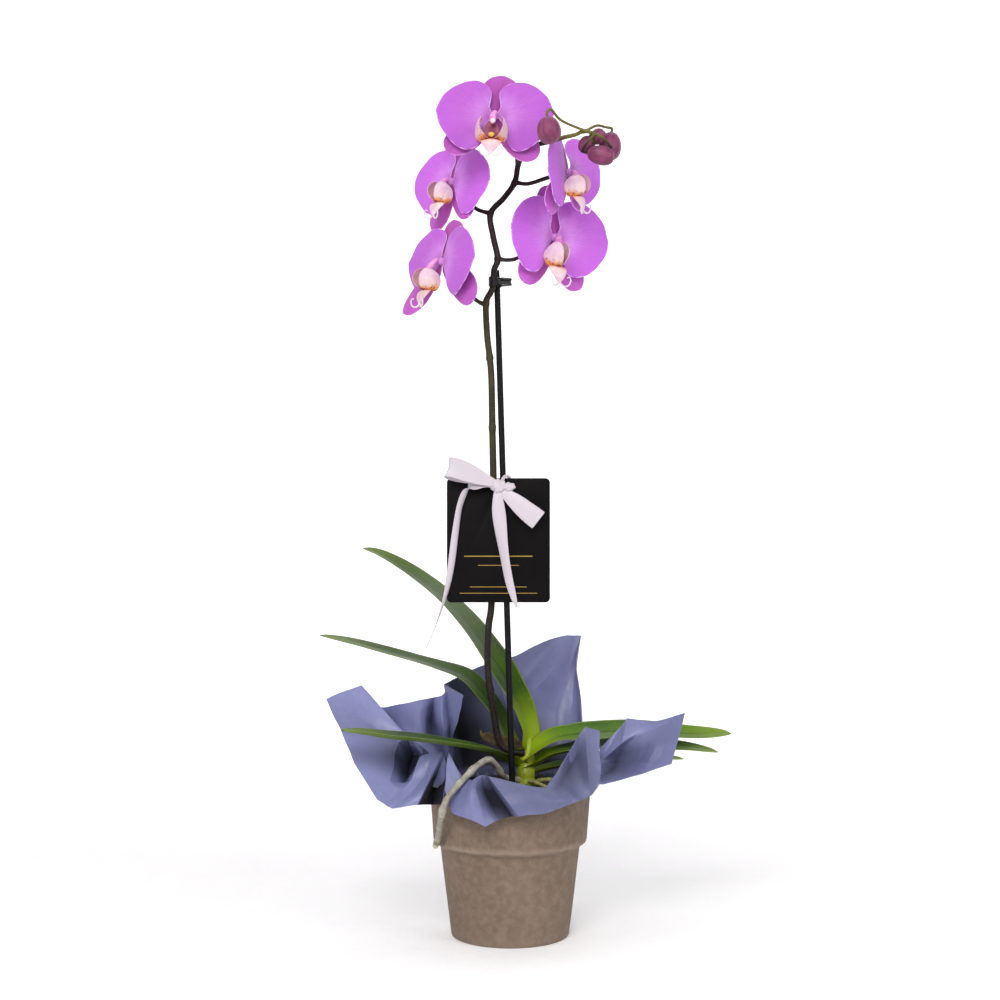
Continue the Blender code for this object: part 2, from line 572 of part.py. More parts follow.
def make_bud(name, middle, half_length, half_width, way):
    """A closed bud, widest a little past its middle, with three shallow seams."""
    rings, sides = 6, 12
    axis = Vector(way).normalized()
    across = axis.orthogonal().normalized()
    other = axis.cross(across)
    verts = [Vector(middle) - axis * half_length]
    for i in range(1, rings):
        u = i / rings
        along = -math.cos(math.pi * u) * half_length
        radius = half_width * math.sin(math.pi * u) ** 0.8 * (0.92 + 0.2 * u)
        for k in range(sides):
            turn = 2 * math.pi * k / sides
            seam = 1.0 - 0.06 * (1.0 - abs(math.sin(1.5 * turn))) ** 2
            verts.append(Vector(middle) + axis * along
                         + (across * math.cos(turn) + other * math.sin(turn)) * radius * seam)
    verts.append(Vector(middle) + axis * half_length * 1.04)
    tip = len(verts) - 1
    faces = []
    for k in range(sides):
        n = (k + 1) % sides
        faces.append((0, 1 + k, 1 + n))
        faces.append((tip, tip - sides + n, tip - sides + k))
        for i in range(rings - 2):
            a, b = 1 + i * sides + k, 1 + i * sides + n
            faces.append((a, b, b + sides, a + sides))
    return add_object(name, verts, faces, "bud")


def evaluated(item, modifier_keys):
    """Applies the object's modifiers and returns it."""
    graph = bpy.context.evaluated_depsgraph_get()
    mesh = bpy.data.meshes.new_from_object(item.evaluated_get(graph))
    for key in modifier_keys:
        item.modifiers.remove(item.modifiers[key])
    item.data = mesh
    return item


def fuse(name, parts, look, solver="EXACT", smooth=True):
    """One Boolean union of all parts, applied; the parts are then removed."""
    group = bpy.data.collections.new(name + "_parts")
    bpy.context.scene.collection.children.link(group)
    for part in parts[1:]:
        bpy.context.scene.collection.objects.unlink(part)
        group.objects.link(part)
    base = parts[0]
    base.name = name
    union = base.modifiers.new("union", "BOOLEAN")
    union.operation = "UNION"
    union.operand_type = "COLLECTION"
    union.collection = group
    union.solver = solver
    evaluated(base, ["union"])
    for part in list(group.objects):
        bpy.data.objects.remove(part, do_unlink=True)
    bpy.data.collections.remove(group)
    tidy_mesh(base)
    base.data.name = name
    finish_object(base, look, smooth)
    return base


def cut(item, cutters, solver="EXACT"):
    """Takes the cutters' shapes out of an object, and removes them."""
    for cutter in cutters:
        cutter.hide_render = True
        cutter.display_type = "WIRE"
        step = item.modifiers.new("cut", "BOOLEAN")
        step.operation = "DIFFERENCE"
        step.object = cutter
        step.solver = solver
        evaluated(item, ["cut"])
        bpy.data.objects.remove(cutter, do_unlink=True)
    tidy_mesh(item)
    return item


def tidy_mesh(item):
    """Merges doubles and keeps the largest body."""
    shape = bmesh.new()
    shape.from_mesh(item.data)
    bmesh.ops.remove_doubles(shape, verts=shape.verts, dist=1e-6)
    bmesh.ops.triangulate(shape, faces=shape.faces)
    bmesh.ops.dissolve_degenerate(shape, dist=1e-7, edges=shape.edges)
    bmesh.ops.triangulate(shape, faces=shape.faces)
    groups, seen = [], set()
    for start in shape.verts:
        if start.index in seen:
            continue
        stack, group = [start], []
        seen.add(start.index)
        while stack:
            vert = stack.pop()
            group.append(vert)
            for edge in vert.link_edges:
                other = edge.other_vert(vert)
                if other.index not in seen:
                    seen.add(other.index)
                    stack.append(other)
        groups.append(group)
    groups.sort(key=len, reverse=True)
    for group in groups[1:]:
        bmesh.ops.delete(shape, geom=group, context="VERTS")
    shape.to_mesh(item.data)
    shape.free()


def make_clay_pot():
    profile = (
        (0.0, 0.0), (POT_FOOT_RADIUS - 1.6, 0.0), (POT_FOOT_RADIUS, 1.6),
        (POT_NECK_RADIUS, POT_NECK_HEIGHT), (POT_NECK_RADIUS + 1.2, POT_NECK_HEIGHT + 1.0),
        (POT_BAND_RADIUS - 0.8, POT_BAND_HEIGHT - 0.6), (POT_BAND_RADIUS, POT_BAND_HEIGHT + 0.8),
        (POT_RIM_RADIUS, POT_HEIGHT - 2.2), (POT_RIM_RADIUS - 0.8, POT_HEIGHT - 0.6),
        (POT_RIM_RADIUS - 2.4, POT_HEIGHT), (POT_MOUTH_RADIUS + 1.4, POT_HEIGHT),
        (POT_MOUTH_RADIUS, POT_HEIGHT - 1.6), (POT_INNER_FOOT_RADIUS, POT_FLOOR), (0.0, POT_FLOOR),
    )
    return make_lathe("clay_pot", profile, POT_SIDES, "clay")


def make_grow_pot():
    profile = (
        (0.0, GROW_FOOT_HEIGHT), (GROW_FOOT_RADIUS - 1.0, GROW_FOOT_HEIGHT),
        (GROW_FOOT_RADIUS, GROW_FOOT_HEIGHT + 1.0), (GROW_RIM_RADIUS, GROW_HEIGHT - 0.4),
        (GROW_RIM_RADIUS - 0.4, GROW_HEIGHT), (GROW_RIM_RADIUS - GROW_WALL, GROW_HEIGHT),
        (GROW_FOOT_RADIUS - GROW_WALL, GROW_FOOT_HEIGHT + GROW_WALL), (0.0, GROW_FOOT_HEIGHT + GROW_WALL),
    )
    return make_lathe("grow_pot", profile, GROW_SIDES, "plastic")


def make_bark():
    """The packed bark: a plug that fills the nursery pot, its top in chips and hollows."""
    foot = GROW_FOOT_HEIGHT + GROW_WALL + GAP
    foot_radius = GROW_FOOT_RADIUS - GROW_WALL - 0.7
    top_radius = GROW_RIM_RADIUS - GROW_WALL - 1.0
    rings = 5
    verts = [(0.0, 0.0, foot)]
    for radius, level in ((foot_radius, foot), (top_radius, BARK_LEVEL)):
        verts += [(radius * math.cos(2 * math.pi * k / BARK_SIDES),
                   radius * math.sin(2 * math.pi * k / BARK_SIDES), level) for k in range(BARK_SIDES)]
    for ring in range(rings, 0, -1):
        radius = (top_radius - 3.0) * ring / rings
        for k in range(BARK_SIDES):
            turn = 2 * math.pi * (k + 0.5 * (ring % 2)) / BARK_SIDES
            x, y = radius * math.cos(turn), radius * math.sin(turn)
            chip = math.sin(0.31 * x + 1.3) * math.cos(0.27 * y) + 0.6 * math.sin(0.53 * x - 0.47 * y)
            verts.append((x, y, BARK_LEVEL + 1.2 + BARK_RELIEF * chip))
    verts.append((0.0, 0.0, BARK_LEVEL + 1.6))
    faces = []
    top = len(verts) - 1
    for k in range(BARK_SIDES):
        n = (k + 1) % BARK_SIDES
        faces.append((0, 1 + n, 1 + k))
        for row in range(rings + 1):
            a, b = 1 + row * BARK_SIDES + k, 1 + row * BARK_SIDES + n
            faces += [(a, b, b + BARK_SIDES), (a, b + BARK_SIDES, a + BARK_SIDES)]
        last = 1 + (rings + 1) * BARK_SIDES
        faces.append((top, last + k, last + n))
    return add_object("growing_medium", verts, faces, "bark")


def wrap_columns():
    """The columns of the film: the listed ribs, with more between them where they lie far apart."""
    ribs = list(WRAP_RIBS)
    columns = []
    for i, rib in enumerate(ribs):
        after = ribs[(i + 1) % len(ribs)]
        span = (after[0] - rib[0]) % 360.0
        steps = 2 if span > 11.0 else 1
        for k in range(steps):
            t = k / steps
            points = [Vector(p).lerp(Vector(q), t) for p, q in zip(rib[1:], after[1:])]
            columns.append((rib[0] + span * t, points))
    return columns


def make_wrap():
    """The film: a cup between the two pots, a lip over the clay rim, and the flaring sheet."""
    columns = wrap_columns()
    levels = ((FILM_FLOOR_RADIUS, FILM_FLOOR + 1.0), (FILM_CUP_RADIUS, FILM_CUP_LEVEL),
              (FILM_LIP_RADIUS, FILM_LIP_LEVEL))
    verts = [Vector((0.0, 0.0, FILM_FLOOR))]
    rows = 7
    for angle, points in columns:
        turn = math.radians(angle)
        way = Vector((math.cos(turn), math.sin(turn), 0.0))
        verts.append(way * (FILM_FLOOR_RADIUS - 1.4) + Vector((0, 0, FILM_FLOOR)))
        verts += [way * radius + Vector((0, 0, level)) for radius, level in levels]
        verts += points
    triangles = []
    count = len(columns)
    for i in range(count):
        a, b = 1 + i * rows, 1 + ((i + 1) % count) * rows
        triangles.append((0, a, b))
        for j in range(rows - 1):
            triangles += [(a + j, a + j + 1, b + j + 1), (a + j, b + j + 1, b + j)]
    rim = [1 + i * rows + rows - 1 for i in range(count)]
    body, faces = two_sided(verts, triangles, rim, FILM)
    return add_object("wrap_sheet", body, faces, "film")


def crown_profile(more=0.0):
    radius = CROWN_RADIUS + more
    return (
        (0.0, CROWN_FOOT - more), (radius - 1.5, CROWN_FOOT - more), (radius, CROWN_FOOT + 3.0),
        (radius + 0.4, 140.0), (radius, 158.0), (radius - 1.6, 167.0),
        (radius - 4.4, CROWN_TOP + more - 1.0), (0.0, CROWN_TOP + more),
    )


def make_crown():
    return make_lathe("plant_crown", crown_profile(), 16, "crown", CROWN_PLACE)


def crown_room():
    """The crown's shape with the gap round it, to cut what grows from it."""
    return make_lathe("crown_room", crown_profile(GAP), 16, None, CROWN_PLACE)


def make_leaves():
    for name, points, half_width, foot_way, tip_way, fold in LEAVES:
        leaf = make_leaf(name, points, half_width, foot_way, tip_way, fold)
        cut(leaf, [crown_room()])
        finish_object(leaf, "leaf")
    stub = make_leaf("old_leaf_base", OLD_LEAF, 6.5, (0.1, 0.05, 1.0), (0.1, 0.05, 1.0), 0.2, "dry", 6)
    cut(stub, [crown_room()])
    finish_object(stub, "dry")


def spike_radius(height, place):
    """The stem narrows upwards and swells a little at its joints."""
    radius = STEM_LOW + (STEM_HIGH - STEM_LOW) * max(0.0, place - 0.35) / 0.65
    near = min(abs(height - level) for level in SPIKE_NODES)
    return radius * (1.0 + (NODE_BULGE - 1.0) * max(0.0, 1.0 - near / 6.0))


def make_spike(stops):
    """The flower stem with all its stalks, grown together."""
    route = smooth_route(SPIKE_ROUTE, SPIKE_RINGS)
    radii = [spike_radius(p.z, i / (SPIKE_RINGS - 1)) for i, p in enumerate(route)]
    parts = [make_tube("flower_spike", route, radii, 7)]
    for name, points in PEDICEL_ROUTES:
        ends = list(points) + stops.get(name, [])
        slim = 1.0 if name.startswith("bloom") else 0.72
        rings = 8 if len(ends) > 3 else 4
        widths = [PEDICEL * slim * (1.25 if i == 0 else 1.0) for i in range(rings)]
        parts.append(make_tube("stalk", smooth_route(ends, rings), widths, 6 if slim == 1.0 else 5))
    spike = fuse("flower_spike", parts, "stem")
    cut(spike, [crown_room()])
    finish_object(spike, "stem")
    return spike


def make_roots():
    root = make_tube("aerial_root", smooth_route(AERIAL_ROOT, 22), root_radii(22), 8, "root")
    cut(root, [crown_room()])
    finish_object(root, "root")
    for name, radius, points in SURFACE_ROOTS:
        small = make_tube(name, smooth_route(points, 9), [radius] * 8 + [radius * 0.6], 6, "root")
        cut(small, [crown_room()])
        finish_object(small, "root")


def root_radii(count):
    return [ROOT_RADIUS * (0.95 + 0.1 * math.sin(1.7 * i)) * (0.75 if i == count - 1 else 1.0)
            for i in range(count)]


def stake_point(level):
    foot, top = Vector(STAKE_FOOT), Vector(STAKE_TOP)
    return foot.lerp(top, (level - foot.z) / (top.z - foot.z))


def make_stake():
    route = [stake_point(z) for z in (STAKE_FOOT[2], STAKE_TOP[2] - 1.0, STAKE_TOP[2])]
    return make_tube("stake", route, (STAKE_RADIUS, STAKE_RADIUS, STAKE_RADIUS - 0.7), 10, "stake")


def make_clip():
    """A claw clip round stem and stake, with its lever to the right."""
    low, high = CLIP_LEVEL - 4.2, CLIP_LEVEL + 4.2
    stem = next(p for p in smooth_route(SPIKE_ROUTE, 600) if p.z >= CLIP_LEVEL)
    rod = stake_point(CLIP_LEVEL)
    parts = [
        make_tube("stem_clip", [Vector((stem.x, stem.y, z)) for z in (low, high)], (4.3, 4.3), 10),
        make_tube("rod_side", [Vector((rod.x, rod.y, z)) for z in (low, high)], (4.3, 4.3), 10),
        make_tube("lever", [Vector((rod.x + x, rod.y - 4.5, CLIP_LEVEL)) for x in (-2.0, 11.0, 12.4)],
                  (2.7, 2.7, 1.8), 6),
    ]
    clip = fuse("stem_clip", parts, "clip")
    holes = [
        make_tube("stem_room", [stem_at(CLIP_LEVEL - 12.0), stem_at(CLIP_LEVEL - 4.0), stem_at(CLIP_LEVEL),
                                stem_at(CLIP_LEVEL + 4.0), stem_at(CLIP_LEVEL + 12.0)], (3.0,) * 5, 8),
        make_tube("rod_room", [stake_point(CLIP_LEVEL + d) for d in (-20.0, 20.0)],
                  (STAKE_RADIUS + GAP + 0.2,) * 2, 8),
    ]
    cut(clip, holes)
    finish_object(clip, "clip")
    return clip


def stem_at(level):
    return next(p for p in smooth_route(SPIKE_ROUTE, 900) if p.z >= level)


def make_card():
    """The gift card: a bare card with rounded corners and a hole for the ribbon."""
    half_x, half_z = CARD_SIZE[0] / 2, CARD_SIZE[1] / 2
    outline = []
    for cx, cz, start in ((1, 1, 0), (-1, 1, 90), (-1, -1, 180), (1, -1, 270)):
        for k in range(5):
            turn = math.radians(start + 22.5 * k)
            outline.append((cx * (half_x - CARD_CORNER) + CARD_CORNER * math.cos(turn),
                            cz * (half_z - CARD_CORNER) + CARD_CORNER * math.sin(turn)))
    count = len(outline)
    x, y, z = CARD_PLACE
    verts = [(x + a, y + s * CARD_THICK / 2, z + b) for s in (-1, 1) for a, b in outline]
    faces = [tuple(range(count)), tuple(range(2 * count - 1, count - 1, -1))]
    faces += [(k, (k + 1) % count, (k + 1) % count + count, k + count) for k in range(count)]
    card = add_object("gift_card", verts, faces, "card", smooth=False)
    hole = [Vector((CARD_HOLE[0], y + d, CARD_HOLE[1])) for d in (-3.0, 3.0)]
    cut(card, [make_tube("card_hole", hole, (CARD_HOLE_RADIUS,) * 2, 16)])
    finish_object(card, "card", smooth=False)
    return card


def make_ribbon():
    """The ribbon: a loop round stem and stake through the card's hole, a knot, a bow and two tails."""
    knot = Vector((-10.0, -18.0, 396.0))
    tie = ((-10, -17, 395.6), (-10, -10.5, 395.6), (-16.8, -7.4, 396.4), (-20.9, -2, 397.5),
           (-19.5, 4.2, 398.5), (-13, 5.8, 399.5), (-5.5, 3.2, 401), (-0.3, -2.8, 402.8), (-1.5, -9, 404.6),
           (-4.5, -13.5, 404.9), (-8, -17.5, 400))
    upright = (0.25, 0.0, 1.0)
    parts = [
        make_ball("knot", knot, (7.0, 4.4, 6.2)),
        make_tube("tie", smooth_route(tie, 20), (1.6,) * 20, 6),
        make_band("bow_loop",
                  smooth_route(((-9, -18.5, 397), (-24, -22.5, 402.5), (-41, -26, 409.5), (-51, -27, 412.5),
                                (-54.4, -24.5, 412.8), (-50, -21.5, 411.5), (-38, -20, 406.5),
                                (-22, -18.6, 400), (-9, -17.5, 395.5)), 17),
                  [upright] * 17,
                  [2.6, 3.6, 5.0, 6.4, 7.6, 8.4, 8.7, 8.8, 8.8, 8.7, 8.4, 7.6, 6.4, 5.2, 4.2, 3.4, 2.6],
                  RIBBON_THICK),
        make_ball("small_loop", (-1.0, -18.6, 395.4), (5.2, 3.0, 4.0)),
        make_band("bow_end", smooth_route(((-9, -18.5, 393.5), (4, -20.5, 383), (14, -21.5, 374.5),
                                           (24.8, -22, 366.1)), 7),
                  [(0.58, 0.0, 0.81)] * 7, [2.6, 4.8, 6.6, 7.8, 8.5, 9.0, 9.1], RIBBON_THICK),
        make_band("left_tail", smooth_route(((-12, -18.5, 396.5), (-26, -19.5, 396), (-37.9, -20, 390),
                                             (-42.2, -20, 375.3), (-45.7, -19, 349), (-50.1, -17.5, 322.8),
                                             (-55.4, -16, 305.3), (-60.6, -14.5, 290.4),
                                             (-73.7, -11, 255.4)), 20),
                  [(0.2, 0.3, 1.0)] * 3 + [(0.8, 0.3, 0.5)] + [(1.0, 0.15, 0.15)] * 16,
                  [2.4, 3.2, 4.6, 5.4, 5.6, 5.8, 5.8, 5.8, 5.7, 5.6, 5.5, 5.4, 5.3, 5.2, 5.0, 4.4, 3.4, 2.6,
                   1.8, 1.2], RIBBON_THICK),
        make_band("right_tail", smooth_route(((-11, -18.5, 394), (-10.6, -19.6, 380), (-9.9, -19.2, 368.3),
                                              (-5.5, -17.5, 330.6), (1.9, -16, 296.5),
                                              (11.1, -14.5, 271.2)), 14),
                  [(1.0, -0.1, 0.1)] * 14,
                  [3.0, 4.6, 5.8, 6.2, 6.2, 6.0, 5.8, 5.6, 5.3, 5.0, 4.6, 3.8, 2.8, 1.6], RIBBON_THICK),
    ]
    return fuse("ribbon", parts, "ribbon", "MANIFOLD", smooth=False)


def clear_bark(bark):
    """Plain holes in the bark for the crown, the stake and the small roots."""
    tools = [crown_room()]
    rod = [stake_point(z) for z in (STAKE_FOOT[2] - GAP, 145.0)]
    tools.append(make_tube("stake_room", rod, (STAKE_RADIUS + GAP,) * 2, 12))
    for _, radius, points in SURFACE_ROOTS:
        route = smooth_route(points, 12)
        route.append(route[-1] + (route[-1] - route[-2]).normalized() * GAP)
        tools.append(make_tube("root_room", route, [radius + GAP + 0.2] * 13, 8))
    cut(bark, tools)
    finish_object(bark, "bark")


def main():
    clear_scene()
    make_clay_pot()
    make_grow_pot()
    make_wrap()
    clear_bark(make_bark())
    make_crown()
    make_leaves()
    stops = {}
    for name, place, turn, nod, lean, size, cup, (right, up) in BLOOMS:
        frame = bloom_frame(place, turn, nod, lean, size)
        make_bloom(name, frame, cup)
        make_lip(name + "_lip", frame, right, up)
        stops[name] = [frame @ Vector((0.0, HUB_BACK + d, 0.0)) for d in STALK_STEPS]
    for name, middle, half_length, half_width, way in BUDS:
        make_bud(name, middle, half_length, half_width, way)
        axis = Vector(way).normalized()
        stops[name] = [Vector(middle) - axis * (half_length + d) for d in BUD_STALK_STEPS]
    make_spike(stops)
    make_roots()
    make_stake()
    make_clip()
    make_card()
    make_ribbon()


main()
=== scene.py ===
import math
import random

import bmesh
import bpy
from mathutils import Matrix, Vector, noise
from mathutils.bvhtree import BVHTree


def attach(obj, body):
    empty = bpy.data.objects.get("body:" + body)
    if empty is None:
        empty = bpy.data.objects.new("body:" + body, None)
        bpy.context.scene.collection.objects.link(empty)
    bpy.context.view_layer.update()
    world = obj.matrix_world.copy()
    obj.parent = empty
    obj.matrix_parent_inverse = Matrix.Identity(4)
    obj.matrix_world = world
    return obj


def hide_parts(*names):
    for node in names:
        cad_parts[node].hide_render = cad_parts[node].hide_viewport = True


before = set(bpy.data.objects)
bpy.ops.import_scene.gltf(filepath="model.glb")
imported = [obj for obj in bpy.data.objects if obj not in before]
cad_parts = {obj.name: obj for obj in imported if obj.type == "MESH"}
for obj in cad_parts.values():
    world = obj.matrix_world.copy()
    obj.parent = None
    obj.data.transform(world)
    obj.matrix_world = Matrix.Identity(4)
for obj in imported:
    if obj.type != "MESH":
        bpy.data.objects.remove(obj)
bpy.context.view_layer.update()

MM = 0.001
# Vector noise changes from run to run unless it has a seed
noise.seed_set(7)


# Shared helpers

def deselect():
    bpy.ops.object.select_all(action="DESELECT")


def pick(piece):
    deselect()
    piece.select_set(True)
    bpy.context.view_layer.objects.active = piece


def named(name):
    """Names the piece that was just made."""
    piece = bpy.context.active_object
    piece.name = name
    piece.data.name = name
    return piece


def apply_all(piece):
    pick(piece)
    for step in list(piece.modifiers):
        bpy.ops.object.modifier_apply(modifier=step.name)


def smooth_all(piece, angle=None):
    """Smooth faces all over, or only across edges flatter than an angle in degrees."""
    pick(piece)
    if angle is None:
        bpy.ops.object.shade_smooth()
    else:
        bpy.ops.object.shade_smooth_by_angle(angle=math.radians(angle))


def merge_doubles(piece, distance=1e-5, normals=True):
    pick(piece)
    bpy.ops.object.mode_set(mode="EDIT")
    bpy.ops.mesh.select_all(action="SELECT")
    bpy.ops.mesh.remove_doubles(threshold=distance)
    if normals:
        bpy.ops.mesh.normals_make_consistent(inside=False)
    bpy.ops.object.mode_set(mode="OBJECT")


def close_ends(piece):
    """Fills the open ends and turns every face outwards."""
    shape = bmesh.new()
    shape.from_mesh(piece.data)
    bmesh.ops.holes_fill(shape, edges=[e for e in shape.edges if e.is_boundary], sides=0)
    bmesh.ops.recalc_face_normals(shape, faces=shape.faces)
    shape.to_mesh(piece.data)
    shape.free()


def join(pieces, name):
    deselect()
    for piece in pieces:
        piece.select_set(True)
    bpy.context.view_layer.objects.active = pieces[0]
    bpy.ops.object.join()
    return named(name)


def settle(piece):
    """Leaves the object at the origin with its place in its mesh."""
    pick(piece)
    bpy.ops.object.transform_apply(location=True, rotation=True, scale=True)
    return piece


def finish_piece(piece, look, slot, *nodes):
    """Gives a piece its finish and body, and hides the CAD nodes that it replaces. The slot is not used."""
    piece.data.materials.clear()
    piece.data.materials.append(look)
    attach(piece, "root")
    if nodes:
        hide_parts(*nodes)
    return piece


def finish_slots(node, look):
    """Gives a CAD node that stays in view its finish."""
    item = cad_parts[node]
    for slot in item.material_slots:
        slot.material = look
    if not item.material_slots:
        item.data.materials.append(look)


def set_values(piece, name, values):
    """Stores one number for each of a piece's points, for its material to read."""
    piece.data.attributes.new(name, "FLOAT", "POINT").data.foreach_set("value", values)


def roughen(piece, fineness, depth):
    """Moves each point a little, by a depth in metres."""
    for vert in piece.data.vertices:
        vert.co += noise.noise_vector(vert.co * fineness) * depth


def bent(a, b, c, d, t):
    """The point at t from 0 to 1 on the smooth curve from b to c, with a before it and d after it."""
    return ((b * 2) + (c - a) * t + (a * 2 - b * 5 + c * 4 - d) * t * t
            + (b * 3 - a - c * 3 + d) * t ** 3) * 0.5


def smooth_route(points, count):
    """Evenly spaced points on a smooth curve through the given ones."""
    given = [Vector(p) for p in points]
    last = len(given) - 1
    dense = []
    for i in range(last):
        b, c = given[i], given[i + 1]
        a = given[i - 1] if i > 0 else b * 2 - c
        d = given[i + 2] if i + 2 <= last else c * 2 - b
        dense += [bent(a, b, c, d, k / 12) for k in range(12)]
    dense.append(given[-1])
    lengths = [0.0]
    for p, q in zip(dense, dense[1:]):
        lengths.append(lengths[-1] + (q - p).length)
    result, k = [], 0
    for i in range(count):
        wanted = lengths[-1] * i / (count - 1)
        while k < len(lengths) - 2 and lengths[k + 1] < wanted:
            k += 1
        stretch = max(lengths[k + 1] - lengths[k], 1e-9)
        result.append(dense[k].lerp(dense[k + 1], min(1.0, (wanted - lengths[k]) / stretch)))
    return result


def tangents(route):
    last = len(route) - 1
    return [(route[min(i + 1, last)] - route[max(i - 1, 0)]).normalized() for i in range(last + 1)]


def across_way(side, way):
    """A direction made square to a route's way, and the one square to both."""
    side = (side - way * side.dot(way)).normalized()
    return side, side.cross(way)


def along(values, u):
    """A value read from an even list of values at u from 0 to 1."""
    place = min(max(u, 0.0), 1.0) * (len(values) - 1)
    k = min(int(place), len(values) - 2)
    t = place - k
    return values[k] * (1 - t) + values[k + 1] * t


def grid_piece(name, columns, rows, place, marks=None):
    """A grid whose points are moved to place(u, v), in millimetres, with the named values of marks(u, v)."""
    deselect()
    bpy.ops.mesh.primitive_grid_add(x_subdivisions=columns, y_subdivisions=rows, size=2.0, calc_uvs=True)
    piece = named(name)
    spots = [((vert.co.x + 1) / 2, (vert.co.y + 1) / 2) for vert in piece.data.vertices]
    for vert, spot in zip(piece.data.vertices, spots):
        vert.co = place(*spot) * MM
    if marks:
        found = [marks(*spot) for spot in spots]
        for key in found[0]:
            set_values(piece, key, [values[key] for values in found])
    piece.data.update()
    return piece


def remap(piece, change):
    """Moves each point of a piece's UV map to change(u, v)."""
    for corner in piece.data.uv_layers.active.data:
        corner.uv = change(*corner.uv)


def thicken(piece, thick, levels=1):
    wall = piece.modifiers.new("wall", "SOLIDIFY")
    wall.thickness = thick * MM
    wall.offset = 0.0
    wall.use_even_offset = False
    if levels:
        soft = piece.modifiers.new("soft", "SUBSURF")
        soft.levels = soft.render_levels = levels
    apply_all(piece)
    smooth_all(piece)
    return piece


def tube_piece(name, route, radii, sides=12):
    """A round rod along a route of points in millimetres."""
    curve = bpy.data.curves.new(name, "CURVE")
    curve.dimensions = "3D"
    curve.bevel_depth = MM
    curve.bevel_resolution = sides // 4 - 1
    curve.use_fill_caps = True
    line = curve.splines.new("POLY")
    line.points.add(len(route) - 1)
    for point, place, radius in zip(line.points, route, radii):
        point.co = (*(place * MM), 1.0)
        point.radius = radius
    piece = bpy.data.objects.new(name, curve)
    bpy.context.scene.collection.objects.link(piece)
    pick(piece)
    bpy.ops.object.convert(target="MESH")
    piece = named(name)
    merge_doubles(piece)
    smooth_all(piece, 50)
    return piece


def box_piece(name, place, turn, size):
    """A plain block, in millimetres."""
    deselect()
    bpy.ops.mesh.primitive_cube_add(size=1.0, location=[c * MM for c in place], rotation=turn,
                                    scale=[c * MM for c in size])
    return named(name)


def ball_piece(name, segments, rings, form):
    """A ball of radius one whose points are moved to form(point), in millimetres."""
    deselect()
    bpy.ops.mesh.primitive_uv_sphere_add(segments=segments, ring_count=rings, radius=1.0)
    piece = named(name)
    for vert in piece.data.vertices:
        vert.co = form(vert.co.copy()) * MM
    smooth_all(piece)
    return piece


def turned_piece(name, profile, steps, angle, middle=(0.0, 0.0)):
    """A profile turned round an upright axis, from the axis at the foot, outside, to the axis again."""
    def place(height):
        return middle[0] * MM, middle[1] * MM, height * MM
    deselect()
    radius, foot = profile[1]
    bpy.ops.mesh.primitive_circle_add(vertices=steps, radius=radius * MM, location=place(foot))
    piece = named(name)
    settle(piece)
    bpy.ops.object.mode_set(mode="EDIT")
    bpy.ops.mesh.select_all(action="SELECT")
    for (r0, z0), (r1, z1) in zip(profile[1:], profile[2:]):
        bpy.ops.mesh.extrude_region_move(TRANSFORM_OT_translate={"value": (0, 0, (z1 - z0) * MM)})
        if r1 > 0.0:
            bpy.ops.transform.resize(value=(r1 / r0, r1 / r0, 1.0), center_override=place(z1))
        else:
            bpy.ops.mesh.merge(type="CENTER")
    bpy.ops.object.mode_set(mode="OBJECT")
    close_ends(piece)
    smooth_all(piece, angle)
    return piece


# Materials

def srgb(red, green, blue):
    def line(c):
        c /= 255.0
        return c / 12.92 if c <= 0.04045 else ((c + 0.055) / 1.055) ** 2.4
    return (line(red), line(green), line(blue), 1.0)


def plug(tree, socket, value):
    """Links a socket to another node's output, or sets it to a plain value."""
    if isinstance(value, bpy.types.NodeSocket):
        tree.links.new(value, socket)
    else:
        socket.default_value = value


def add(tree, kind, settings=None, **inputs):
    item = tree.nodes.new(kind)
    for key, value in (settings or {}).items():
        setattr(item, key, value)
    for key, value in inputs.items():
        plug(tree, item.inputs[key.replace("_", " ")], value)
    return item


def maths(tree, what, a, b=0.0):
    item = add(tree, "ShaderNodeMath", {"operation": what})
    plug(tree, item.inputs[0], a)
    plug(tree, item.inputs[1], b)
    return item.outputs[0]


def times(tree, a, b):
    return maths(tree, "MULTIPLY", a, b)


def plus(tree, a, b):
    return maths(tree, "ADD", a, b)


def away_from(tree, value, middle):
    return maths(tree, "ABSOLUTE", maths(tree, "SUBTRACT", value, middle))


def axis(tree, vector, letter):
    return add(tree, "ShaderNodeSeparateXYZ", Vector=vector).outputs[letter]


def mark(tree, name):
    """The values that a piece's points carry under a name."""
    return add(tree, "ShaderNodeAttribute", {"attribute_name": name}).outputs["Fac"]


def span(tree, value, low, high, start=0.0, end=1.0):
    """A soft ramp from start at low to end at high."""
    return add(tree, "ShaderNodeMapRange", {"interpolation_type": "SMOOTHSTEP"}, Value=value, From_Min=low,
               From_Max=high, To_Min=start, To_Max=end).outputs[0]


def spread(tree, mask, low, high):
    """A mask from 0 to 1 turned into a value between low and high."""
    return span(tree, mask, 0.0, 1.0, low, high)


def blend(tree, mask, first, second, how="MIX"):
    item = add(tree, "ShaderNodeMix", {"data_type": "RGBA", "blend_type": how})
    for number, value in ((0, mask), (6, first), (7, second)):
        plug(tree, item.inputs[number], value)
    return item.outputs[2]


def paint(tree, base, *coats):
    """Lays coats over a colour one after the other: each has its mask, its strength and its colour."""
    for mask, strength, colour in coats:
        base = blend(tree, times(tree, mask, strength), base, colour)
    return base


